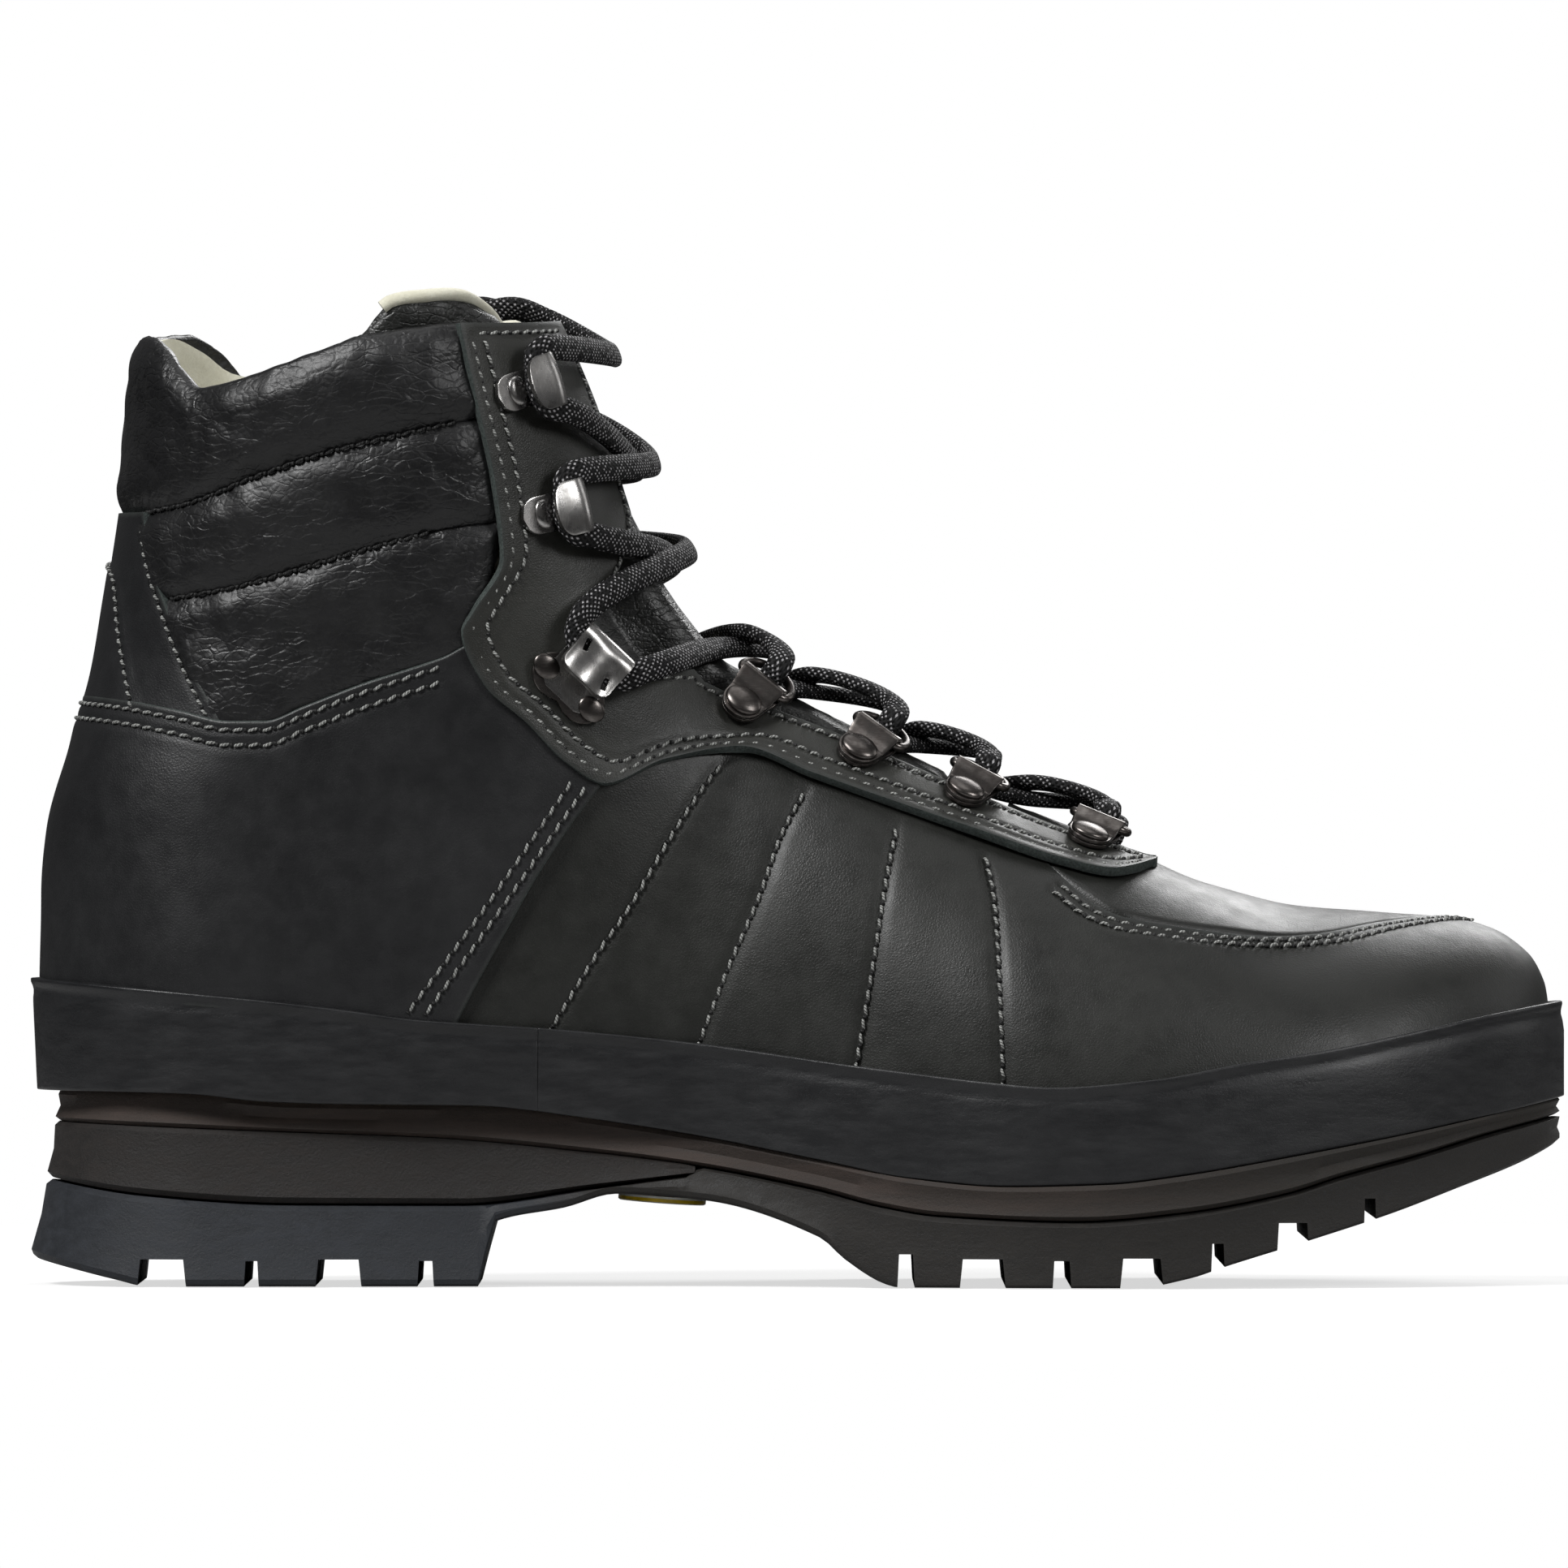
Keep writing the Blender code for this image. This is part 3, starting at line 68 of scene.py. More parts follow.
# Hardware
STRAP_LENGTH, STRAP_SHEET = 9.0, 0.78
LOOP_RADIUS, RING_WIRE_RADIUS = 2.2, 0.9
RING_WIDTH, RING_REACH, RING_TILT = 13.2, 6.8, -18.0
HOOK_WIDTH, HOOK_LENGTH, HOOK_SHEET, HOOK_GAP = 8.8, 5.6, 1.2, 4.4
LOCK_WIDTH, LOCK_LENGTH = 12.0, 8.6
STAND_OFF = 0.35
LACE_RADIUS = 1.5
LACE_WIDTH, LACE_THICK = 5.2, 3.0
RING_CLEARANCE, HOOK_CLEARANCE = 0.7, 0.6


# ---------------------------------------------------------------- curves and the skin


def through(*points):
    """A curve through (place, value) points that never overshoots between them."""
    place, value = np.array(points, float).T
    step = np.diff(place)
    slope = np.diff(value) / step
    product = slope[:-1] * slope[1:]
    total = np.where(product > 0, slope[:-1] + slope[1:], 1.0)
    inner = np.where(product > 0, 2 * product / total, 0.0)
    tangent = np.concatenate([slope[:1], inner, slope[-1:]])

    def value_at(where):
        where = np.clip(where, place[0], place[-1])
        i = np.clip(np.searchsorted(place, where) - 1, 0, len(step) - 1)
        t = (where - place[i]) / step[i]
        start = (1 + 2 * t) * (1 - t) ** 2 * value[i] + t * (1 - t) ** 2 * step[i] * tangent[i]
        end = t**2 * (3 - 2 * t) * value[i + 1] + t**2 * (t - 1) * step[i] * tangent[i + 1]
        return start + end

    return value_at


def lengths(points):
    """The distance along a line of points, at each of them."""
    steps = np.linalg.norm(np.diff(points, axis=0), axis=1)
    return np.concatenate([[0], np.cumsum(steps)])


def unit(vectors):
    """The same directions, each of length one."""
    return vectors / np.linalg.norm(vectors, axis=-1, keepdims=True)


def resampled(points, count):
    """The same line with its points spread evenly."""
    along = lengths(points)
    wanted = np.linspace(0, along[-1], count)
    return np.stack([np.interp(wanted, along, axis) for axis in points.T], axis=-1)


def route(points, count):
    """Points spread evenly along a smooth line through the given ones."""
    points = np.array(points, float)
    along = lengths(points)
    curves = [through(*zip(along, axis)) for axis in points.T]
    fine = np.linspace(0, along[-1], 20 * count)
    return resampled(np.stack([curve(fine) for curve in curves], axis=-1), count)


# Side view: back of the boot (height -> x), ridge of the foot and shaft (x -> height)
back_line = through((20, -148), (45, -150.0), (60, -150.6), (77, -150.4), (90, -149.0), (106, -144.8),
                    (121, -140.4), (135, -138.0), (150, -135.6), (165, -133.6), (183, -132.2), (215, -131))
RIDGE = [(-66, 222), (-60, 213), (-52, 201), (-45.4, 190), (-37.5, 172), (-31, 152), (-24, 138), (-18, 130),
         (-12.4, 124.3), (8, 114), (25, 105.5), (41.5, 97.4), (50, 93.6), (65, 88.0), (73.7, 84),
         (81.8, 80.8), (98, 76.3), (114, 74.7), (130, 73.9), (138, 72.2), (146, 66.9), (150, 60),
         (TOE_X, 50)]
ridge_line = through(*RIDGE)
shaft_front = through((20, -6), (100, -9), (125, -15), (138, -24), (152, -31), (172, -37.5), (190, -45.4),
                      (201, -52), (213, -60), (222, -66))
# Half widths: of the foot seen from above, and of the shaft by height
foot_width = through((-155, 38.0), (-100, 38.0), (-60, 36.0), (-30, 35.5), (0, 41.0), (25, 47.5),
                     (50, 53.5), (68, SOLE_HALF_WIDTH), (90, 53.5), (155, 50.5))
shaft_width = through((20, 30), (60, 32), (90, 33), (120, 35), (150, 39.5), (175, 42), (215, 43))
centre_line = through((-155, -1.4), (20, -1.4), (60, -0.6), (110, 2.4), (155, 5.0))
# Sole lines in the side view, x -> height
rand_bottom = through((-152, 38.2), (-122, 37.7), (-100, 35.8), (-61, 35.2), (-45, 33.3), (-21, 29.6),
                      (4, 24.8), (22, 21.2), (41, 19.6), (61, 20.1), (75, 21.7), (99, 25.8), (120, 29.8),
                      (136, 33.2), (153, 37))
rand_top = through((-152, 60.6), (-98, 55.5), (-73, 52.3), (-51, 50.9), (-20, 47.8), (11, 43.5), (41, 39.9),
                   (50, 39.2), (69, 40.6), (88, 44.0), (103, 46.2), (122, 50.1), (140, 53.8), (153, 56))
midsole_bottom = through((-152, 32.5), (-100, 30.4), (-72, 29.3), (-45, 26.9), (-21, 24.0), (4, 19.2),
                         (16, 16.1), (28, 14.2), (55, 13.2), (75, 14.8), (96, 18.6), (107, 22.0),
                         (123, 26.2), (136, 30.0), (153, 34.0))
wedge_bottom = through((-152, 21.8), (-129, 18.2), (-100, 16.4), (-66, 16.3), (-40, 19.6), (-18, 22.6))
ground = through((-153, 5.6), (-144, 3.5), (-134, 1.2), (-128, 0), (-62.6, 0), (-61.2, 6), (-60.6, 12.3),
                 (-45.4, 15.6), (-35.7, 18.2), (-18, 16.9), (4.5, 9.7), (9.3, 5.5), (17.4, 0.6), (20, 0),
                 (66, 0), (77, 1.9), (84, 4.2), (102, 9.7), (117, 14.5), (130, 19.3), (143, 24.2),
                 (152, 28.5))


def plan_width(x, heel_x=HEEL_X):
    """Half width of the sole seen from above, and the factors of its square at the heel and the toe."""
    heel = np.clip((heel_x + HEEL_CAP_LENGTH - x) / HEEL_CAP_LENGTH, 0, 2)
    toe = np.clip((x - TOE_CAP_START) / (TOE_X - TOE_CAP_START), 0, 2)
    return foot_width(x), 1 - heel**2, 1 - toe**2.4


def signed_product(*factors):
    """The product, kept negative wherever any factor is."""
    product = np.abs(math.prod(factors))
    return np.where(np.min(np.stack(np.broadcast_arrays(*factors)), axis=0) < 0, -product, product)


def width_squared(x, z):
    """Half width of the skin at a place in the side view, squared. It is negative outside the skin."""
    width, heel, toe = plan_width(x, back_line(z))
    feather = rand_bottom(x) + 10
    rise = np.clip((z - feather) / (ridge_line(x) - feather), 0, 3)
    foot = (width - UPPER_INSET) ** 2 * signed_product(heel, toe, 1 - rise**2.1)
    middle = (back_line(z) + shaft_front(z)) / 2
    half_length = (shaft_front(z) - back_line(z)) / 2
    shaft = shaft_width(z) ** 2 * (1 - np.abs((x - middle) / half_length) ** 2.4)
    joined = np.cbrt(np.maximum(foot, 0) ** 3 + np.maximum(shaft, 0) ** 3)
    return np.where(joined > 0, joined, np.maximum(foot, shaft))


def outside_by(points):
    """Positive outside the skin and negative inside it."""
    x, y, z = np.moveaxis(np.asarray(points, float), -1, 0)
    return (y - centre_line(x)) ** 2 - width_squared(x, z)


def normals_at(points):
    """Outward unit normals of the skin, from differences either side of each point."""
    points = np.asarray(points, float)
    reach = 0.4 * np.eye(3)
    slopes = [outside_by(points + step) - outside_by(points - step) for step in reach]
    return unit(np.stack(slopes, axis=-1))


def on_side(x, z, side=-1):
    """Points of the skin at these places in the side view, on one side of the boot."""
    x, z = np.broadcast_arrays(np.asarray(x, float), np.asarray(z, float))
    half = np.sqrt(np.maximum(width_squared(x, z), 0))
    return np.stack([x, centre_line(x) + side * half, z], axis=-1)


CORE = np.array([(96, 42), (-60, 56), (-88, 95), (-86, 215)], float)


def core_of(points):
    """For each point, the nearest one on a line through the middle of the foot and the shaft."""
    place = points[..., [0, 2]]
    best = np.full(place.shape[:-1], np.inf)
    found = np.zeros_like(place)
    for start, end in zip(CORE, CORE[1:]):
        run = end - start
        t = np.clip(((place - start) @ run) / (run @ run), 0, 1)
        spot = start + t[..., None] * run
        distance = np.linalg.norm(place - spot, axis=-1)
        found = np.where((distance < best)[..., None], spot, found)
        best = np.minimum(best, distance)
    return np.stack([found[..., 0], centre_line(found[..., 0]), found[..., 1]], axis=-1)


def cast(origins, directions, reach=130.0):
    """Where rays from inside the boot meet the skin."""
    directions = unit(directions)
    far = np.full(directions.shape[:-1], reach)
    for step in np.arange(2, reach, 2.0):
        outside = outside_by(origins + step * directions) > 0
        far = np.where(outside & (far > step), step, far)
    near = far - 2.0
    for _ in range(24):
        middle = (near + far) / 2
        inside = outside_by(origins + middle[..., None] * directions) < 0
        near = np.where(inside, middle, near)
        far = np.where(inside, far, middle)
    return origins + far[..., None] * directions


def pushed_to_skin(guesses):
    """The points of the skin straight out from the boot's core through each guess."""
    origins = core_of(guesses)
    return cast(origins, guesses - origins)


# ---------------------------------------------------------------- materials


def shader_tree(name):
    made = bpy.data.materials.new(name)
    made.use_nodes = True
    tree = made.node_tree
    return made, tree, tree.nodes["Principled BSDF"]


def add_node(tree, kind, inputs=None, **settings):
    node = tree.nodes.new(kind)
    for key, value in settings.items():
        setattr(node, key, value)
    for key, value in (inputs or {}).items():
        if isinstance(value, bpy.types.NodeSocket):
            tree.links.new(value, node.inputs[key])
        else:
            node.inputs[key].default_value = value
    return node


def place_of(tree, stretch=(1, 1, 1)):
    """Coordinates on the object in millimetres, stretched along each axis."""
    coords = add_node(tree, "ShaderNodeTexCoord").outputs["Object"]
    scale = [1 / (MM * along) for along in stretch]
    return add_node(tree, "ShaderNodeMapping", {"Vector": coords, "Scale": scale}).outputs["Vector"]


def noise(tree, place, size, detail=2.0, roughness=0.5):
    """Soft noise about 0.5, whose spots are about `size` across."""
    inputs = {"Vector": place, "Scale": 1 / size, "Detail": detail, "Roughness": roughness}
    return add_node(tree, "ShaderNodeTexNoise", inputs).outputs["Fac"]


def cells(tree, place, size):
    """The distance from the borders of a pattern of cells about `size` across."""
    inputs = {"Vector": place, "Scale": 1 / size}
    made = add_node(tree, "ShaderNodeTexVoronoi", inputs, feature="DISTANCE_TO_EDGE")
    return made.outputs["Distance"]


def ramp(tree, value, low, high, start, end):
    """value from low..high mapped to start..end and held beyond."""
    inputs = {"Value": value, "From Min": low, "From Max": high, "To Min": start, "To Max": end}
    return add_node(tree, "ShaderNodeMapRange", inputs).outputs["Result"]


def mix(tree, share, one, two):
    """A colour between two, each a colour or a socket."""
    made = add_node(tree, "ShaderNodeMix", data_type="RGBA")
    for socket, value in ((made.inputs[0], share), (made.inputs[6], one), (made.inputs[7], two)):
        if isinstance(value, bpy.types.NodeSocket):
            tree.links.new(value, socket)
        else:
            socket.default_value = (*value, 1) if isinstance(value, tuple) else value
    return made.outputs[2]


def maths(tree, operation, one, two=0.0):
    return add_node(tree, "ShaderNodeMath", {0: one, 1: two}, operation=operation).outputs[0]


def bumped(tree, shader, heights):
    """Chains bumps onto the shader. heights holds (height socket, depth in millimetres)."""
    normal = None
    for height, depth in heights:
        inputs = {"Height": height, "Strength": 1.0, "Distance": depth * MM}
        if normal:
            inputs["Normal"] = normal
        normal = add_node(tree, "ShaderNodeBump", inputs).outputs["Normal"]
    tree.links.new(normal, shader.inputs["Normal"])


WORN_EDGE = (0.032, 0.036, 0.034)


def leather(name, colour, tint, grain, depth, roughness, folds, coat):
    """Grained leather: cells about `grain` wide, uneven dye, a rubbed edge and, if folds, fine folds."""
    made, tree, shader = shader_tree(name)
    place = place_of(tree)
    cloud = noise(tree, place, 34, 3)
    blotch = noise(tree, place, 5, 4, 0.6)
    edge = add_node(tree, "ShaderNodeAttribute", attribute_name="edge").outputs["Fac"]
    base = mix(tree, ramp(tree, cloud, 0.35, 0.65, 0, 1), colour, tint)
    base = mix(tree, ramp(tree, blotch, 0.45, 0.8, 0, 0.35), base, tuple(1.5 * c for c in tint))
    near_edge, uneven = ramp(tree, edge, 0.0, 1.1, 0.9, 0.0), ramp(tree, blotch, 0.3, 0.6, 0.5, 1)
    rubbed = maths(tree, "MULTIPLY", near_edge, uneven)
    tree.links.new(mix(tree, rubbed, base, WORN_EDGE), shader.inputs["Base Color"])
    fine, broad = ramp(tree, blotch, 0.3, 0.7, -0.05, 0.07), ramp(tree, cloud, 0.3, 0.7, -0.04, 0.04)
    rough = maths(tree, "ADD", fine, broad)
    tree.links.new(maths(tree, "ADD", rough, roughness), shader.inputs["Roughness"])
    shader.inputs["Coat Weight"].default_value = coat
    shader.inputs["Coat Roughness"].default_value = 0.3
    wavy = noise(tree, place, grain * 3, 2)
    pebble = ramp(tree, cells(tree, place, grain), 0.0, 0.28, 0.0, 1.0)
    heights = [(wavy, depth), (pebble, depth * 0.5), (noise(tree, place, 0.4, 3), 0.03)]
    if folds:
        bend = add_node(tree, "ShaderNodeTexNoise", {"Vector": place, "Scale": 1 / 6, "Detail": 2.0})
        inputs = {0: bend.outputs["Color"], 3: 3.2}
        shift = add_node(tree, "ShaderNodeVectorMath", inputs, operation="SCALE").outputs[0]
        inputs = {0: place_of(tree, (2.1, 2.1, 0.9)), 1: shift}
        swayed = add_node(tree, "ShaderNodeVectorMath", inputs, operation="ADD").outputs[0]
        lines = ramp(tree, cells(tree, swayed, 1.9), 0.0, 0.11, 0.0, 1.0)
        strong = ramp(tree, noise(tree, place, 14, 2), 0.38, 0.6, 0.25, 1.0)
        heights.append((maths(tree, "MULTIPLY", lines, strong), folds))
    bumped(tree, shader, heights)
    return made


def cut_leather():
    """The raw edge of a cut panel: pale grey-green fibres."""
    made, tree, shader = shader_tree("cut_edge")
    place = place_of(tree)
    fibres = noise(tree, place, 0.5, 4, 0.7)
    shade = noise(tree, place, 4, 2)
    base = mix(tree, ramp(tree, fibres, 0.35, 0.65, 0, 1), (0.018, 0.025, 0.023), (0.075, 0.092, 0.086))
    tree.links.new(mix(tree, ramp(tree, shade, 0.4, 0.7, 0, 0.5), base, (0.03, 0.038, 0.036)),
                   shader.inputs["Base Color"])
    shader.inputs["Roughness"].default_value = 0.75
    bumped(tree, shader, [(fibres, 0.15)])
    return made


def rubber(name, dark, pale, roughness, streak=(1, 1, 1), grit=0.06, coat=0.0, forward=None):
    """Moulded rubber with scuffed streaks. forward is the (start, end, colour) of a change along x."""
    made, tree, shader = shader_tree(name)
    streaks = noise(tree, place_of(tree, streak), 2.4, 5, 0.65)
    place = place_of(tree)
    bloom = noise(tree, place, 22, 3)
    grain = noise(tree, place, 0.55, 4, 0.7)
    scuffed, dusty = ramp(tree, streaks, 0.42, 0.72, 0, 1), ramp(tree, bloom, 0.3, 0.65, 0.3, 1)
    share = maths(tree, "MULTIPLY", scuffed, dusty)
    base = mix(tree, share, dark, pale)
    if forward:
        start, end, colour = forward
        x = add_node(tree, "ShaderNodeSeparateXYZ", {"Vector": place}).outputs["X"]
        other = mix(tree, share, tuple(0.6 * c for c in colour), colour)
        base = mix(tree, ramp(tree, x, start, end, 0, 1), base, other)
    speck = ramp(tree, grain, 0.55, 0.75, 0, 0.4)
    tree.links.new(mix(tree, speck, base, tuple(1.5 * c for c in dark)), shader.inputs["Base Color"])
    tree.links.new(maths(tree, "ADD", ramp(tree, streaks, 0.3, 0.7, -0.07, 0.12), roughness),
                   shader.inputs["Roughness"])
    shader.inputs["Coat Weight"].default_value = coat
    shader.inputs["Coat Roughness"].default_value = 0.25
    bumped(tree, shader, [(bloom, 0.25), (streaks, 0.12), (grain, grit)])
    return made


def metal(name, dark, pale, roughness, brushed=(1, 1, 1), tarnish=0.5):
    """Worn plated metal: cloudy tarnish, fine scratches and a varying shine."""
    made, tree, shader = shader_tree(name)
    place = place_of(tree)
    cloud = noise(tree, place, 2.6, 3, 0.5)
    scratches = noise(tree, place_of(tree, brushed), 0.22, 3, 0.6)
    share = ramp(tree, cloud, 0.35, 0.35 + tarnish * 0.5, 0, 1)
    base = mix(tree, share, dark, pale)
    tree.links.new(mix(tree, ramp(tree, scratches, 0.5, 0.7, 0, 0.3), base, tuple(1.25 * c for c in pale)),
                   shader.inputs["Base Color"])
    shader.inputs["Metallic"].default_value = 1.0
    tree.links.new(maths(tree, "ADD", ramp(tree, cloud, 0.3, 0.7, 0.08, -0.06), roughness),
                   shader.inputs["Roughness"])
    bumped(tree, shader, [(cloud, 0.02), (scratches, 0.006)])
    return made


def lining():
    made, tree, shader = shader_tree("cream_lining")
    place = place_of(tree)
    nap = noise(tree, place, 0.6, 4, 0.7)
    soft = noise(tree, place, 9, 3)
    base = mix(tree, ramp(tree, soft, 0.35, 0.65, 0, 1), (0.74, 0.72, 0.58), (0.86, 0.85, 0.72))
    tree.links.new(mix(tree, ramp(tree, nap, 0.35, 0.7, 0, 0.5), base, (0.62, 0.59, 0.46)),
                   shader.inputs["Base Color"])
    shader.inputs["Roughness"].default_value = 0.9
    shader.inputs["Sheen Weight"].default_value = 0.25
    bumped(tree, shader, [(soft, 0.4), (nap, 0.12)])
    return made


def pair_of(tree, along_size, round_size):
    """The two diagonal counts of a braid or a twist, from the piece's own (along, round) coordinates."""
    coords = add_node(tree, "ShaderNodeUVMap").outputs["UV"]
    split = add_node(tree, "ShaderNodeSeparateXYZ", {"Vector": coords})
    along = maths(tree, "DIVIDE", split.outputs["X"], along_size)
    around = maths(tree, "DIVIDE", split.outputs["Y"], round_size)
    return maths(tree, "ADD", along, around), maths(tree, "SUBTRACT", along, around)


def ribbed(tree, way):
    """Round ribs, one for each whole step of a count."""
    return maths(tree, "ABSOLUTE", maths(tree, "SINE", maths(tree, "MULTIPLY", way, math.pi)))


def braid():
    """A black braid of fine yarns, a few of them flecked with pale thread, with painted shade darkening the grooves
    between the yarns.
    """
    made, tree, shader = shader_tree("flecked_braid")
    one, two = pair_of(tree, 1.2, 1.2)
    ribs = [ribbed(tree, way) for way in (one, two)]
    height = maths(tree, "MAXIMUM", *ribs)
    crossing = maths(tree, "MINIMUM", *ribs)
    inputs = {"X": maths(tree, "FLOOR", one), "Y": maths(tree, "FLOOR", two)}
    cell = add_node(tree, "ShaderNodeCombineXYZ", inputs)
    random = add_node(tree, "ShaderNodeTexWhiteNoise", {"Vector": cell.outputs[0]}).outputs["Value"]
    place = place_of(tree)
    yarn = noise(tree, place, 0.3, 3, 0.6)
    chosen, crossed_over = ramp(tree, random, 0.25, 0.3, 0, 1), ramp(tree, crossing, 0.72, 0.86, 0, 1)
    fleck = maths(tree, "MULTIPLY", chosen, crossed_over)
    fleck = maths(tree, "MULTIPLY", fleck, ramp(tree, yarn, 0.35, 0.5, 0.4, 1))
    # Painted shade: the base colour is darker in the grooves between the yarns and lighter on their crowns.
    base = mix(tree, ramp(tree, height, 0.4, 1.0, 0, 1), (0.0012, 0.0012, 0.0013), (0.007, 0.007, 0.0075))
    tree.links.new(mix(tree, fleck, base, (0.42, 0.41, 0.42)), shader.inputs["Base Color"])
    shader.inputs["Roughness"].default_value = 0.7
    shader.inputs["Specular IOR Level"].default_value = 0.25
    bumped(tree, shader, [(height, 0.3), (yarn, 0.06)])
    return made


def thread(name, dark, pale):
    """Waxed sewing thread, twisted, with painted shade darkening the grooves of its twist."""
    made, tree, shader = shader_tree(name)
    one, _ = pair_of(tree, 0.7, 1.8)
    twist = ribbed(tree, one)
    dirt = noise(tree, place_of(tree), 5, 3)
    # Painted shade: the thread is dark in the grooves of its twist and pale on its crowns; the dirt mix below is
    # random.
    base = mix(tree, ramp(tree, twist, 0.2, 0.9, 0, 1), dark, pale)
    tree.links.new(mix(tree, ramp(tree, dirt, 0.35, 0.7, 0, 0.5), base, dark), shader.inputs["Base Color"])
    shader.inputs["Roughness"].default_value = 0.6
    bumped(tree, shader, [(twist, 0.12)])
    return made


def plastic(name, colour, roughness):
    made, tree, shader = shader_tree(name)
    place = place_of(tree)
    cloud = noise(tree, place, 3, 3)
    tree.links.new(mix(tree, ramp(tree, cloud, 0.3, 0.7, 0, 1), colour, tuple(0.7 * c for c in colour)),
                   shader.inputs["Base Color"])
    shader.inputs["Roughness"].default_value = roughness
    bumped(tree, shader, [(noise(tree, place, 0.5, 2), 0.03)])
    return made


LEATHER = leather("smooth_leather", (0.0065, 0.0067, 0.0076), (0.0098, 0.0101, 0.0110),
                  grain=0.6, depth=0.035, roughness=0.45, folds=0.0, coat=0.06)
TOE_LEATHER = leather("toe_leather", (0.0072, 0.0077, 0.0064), (0.0112, 0.0118, 0.0097),
                      grain=0.6, depth=0.035, roughness=0.45, folds=0.0, coat=0.06)
COLLAR = leather("pebbled_leather", (0.0058, 0.0058, 0.0064), (0.010, 0.010, 0.0105),
                 grain=1.7, depth=0.09, roughness=0.42, folds=0.07, coat=0.05)
FACING = leather("facing_leather", (0.0155, 0.016, 0.0135), (0.022, 0.0225, 0.019),
                 grain=0.5, depth=0.04, roughness=0.44, folds=0.0, coat=0.05)
TONGUE = leather("tongue_leather", (0.009, 0.0095, 0.0088), (0.014, 0.0145, 0.0132),
                 grain=0.9, depth=0.08, roughness=0.38, folds=0.1, coat=0.1)
CUT_EDGE = cut_leather()
RAND_RUBBER = rubber("rand_rubber", (0.0075, 0.0078, 0.009), (0.017, 0.0175, 0.019), 0.40, (4, 4, 1),
                     coat=0.1)
HEEL_RUBBER = rubber("sole_rubber", (0.013, 0.0155, 0.020), (0.026, 0.030, 0.038), 0.6, (2, 2, 1), 0.12,
                     forward=(-54, -40, (0.016, 0.0135, 0.011)))
STRIPE = rubber("brown_stripe", (0.026, 0.018, 0.014), (0.065, 0.046, 0.038), 0.7, (9, 9, 1), 0.15,
                forward=(10, 100, (0.022, 0.018, 0.014)))
WEDGE = rubber("brown_wedge", (0.008, 0.006, 0.005), (0.021, 0.016, 0.0135), 0.62, (2.5, 2.5, 1), 0.25)
STEEL = metal("worn_steel", (0.30, 0.29, 0.28), (0.60, 0.59, 0.58), 0.27, (1, 1, 8), 0.9)
GUNMETAL = metal("antique_gunmetal", (0.075, 0.066, 0.062), (0.20, 0.185, 0.175), 0.30, (6, 6, 1), 0.9)
LINING = lining()
BRAID = braid()
THREAD = thread("grey_thread", (0.10, 0.10, 0.095), (0.44, 0.45, 0.43))
# Dark thread for the collar's seams, and the painted shade of the needle holes between stitches.
DARK_THREAD_AND_HOLE_SHADE = thread("dark_thread_and_hole_shade", (0.004, 0.004, 0.004), (0.016, 0.016, 0.016))
AGLET = plastic("aglet_plastic", (0.006, 0.006, 0.007), 0.25)
INLAY = plastic("inlay_yellow", (0.88, 0.60, 0.02), 0.4)
INLAY_RIM = plastic("inlay_rim", (0.88, 0.88, 0.82), 0.45)
BOARD = rubber("fibre_board", (0.30, 0.21, 0.12), (0.42, 0.31, 0.19), 0.8)
FOOTBED = rubber("footbed_cloth", (0.05, 0.05, 0.053), (0.10, 0.10, 0.105), 0.9, (1, 1, 1), 0.2)


# ---------------------------------------------------------------- meshes and pieces


def linked(name, data):
    """A new object of the scene."""
    made = bpy.data.objects.new(name, data)
    bpy.context.scene.collection.objects.link(made)
    return made


def add_piece(name, mesh, looks, nodes=(), body=BOOT):
    """A visible piece that rides on a body and stands for CAD nodes."""
    for look in looks:
        mesh.materials.append(look)
    made = linked(name, mesh)
    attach(made, body)
    if nodes:
        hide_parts(*nodes)
    return made


def smooth(mesh, angle):
    """Shades a mesh smooth but for edges sharper than an angle in degrees."""
    mesh.shade_smooth()
    mesh.set_sharp_from_angle(angle=math.radians(angle))


def mesh_of(name, points, faces, uv=None):
    """A mesh from points in millimetres. uv gives each point's pattern coordinates, in millimetres too."""
    mesh = bpy.data.meshes.new(name)
    mesh.from_pydata((np.asarray(points) * MM).tolist(), [], faces)
    if uv is not None:
        corner = np.empty(len(mesh.loops), int)
        mesh.loops.foreach_get("vertex_index", corner)
        mesh.uv_layers.new(name="pattern").data.foreach_set("uv", np.asarray(uv)[corner].ravel())
    return mesh


def made_into(name, made):
    """A mesh from a bmesh, which is freed."""
    mesh = bpy.data.meshes.new(name)
    made.to_mesh(mesh)
    made.free()
    return mesh


def grid_faces(rows, columns, first=0, turned=False):
    index = first + np.arange(rows * columns).reshape(rows, columns)
    quads = [index[:-1, :-1], index[:-1, 1:], index[1:, 1:], index[1:, :-1]]
    return np.stack(quads[::-1] if turned else quads, axis=-1).reshape(-1, 4).tolist()


def shell_mesh(name, face, back, outward):
    """A closed body between two grids of points, its face on the outward side."""
    rows, columns = face.shape[:2]
    first = rows * columns
    turned = not faces_outward(face, outward)
    faces = grid_faces(rows, columns, 0, turned) + grid_faces(rows, columns, first, not turned)
    index = np.arange(first).reshape(rows, columns)
    ring = np.concatenate([index[0], index[1:, -1], index[-1, -2::-1], index[-2:0:-1, 0]])
    for one, two in zip(ring.tolist(), np.roll(ring, -1).tolist()):
        quad = [one, two, two + first, one + first]
        faces.append(quad if turned else quad[::-1])
    mesh = mesh_of(name, np.concatenate([face.reshape(-1, 3), back.reshape(-1, 3)]), faces)
    mesh.shade_smooth()
    return mesh


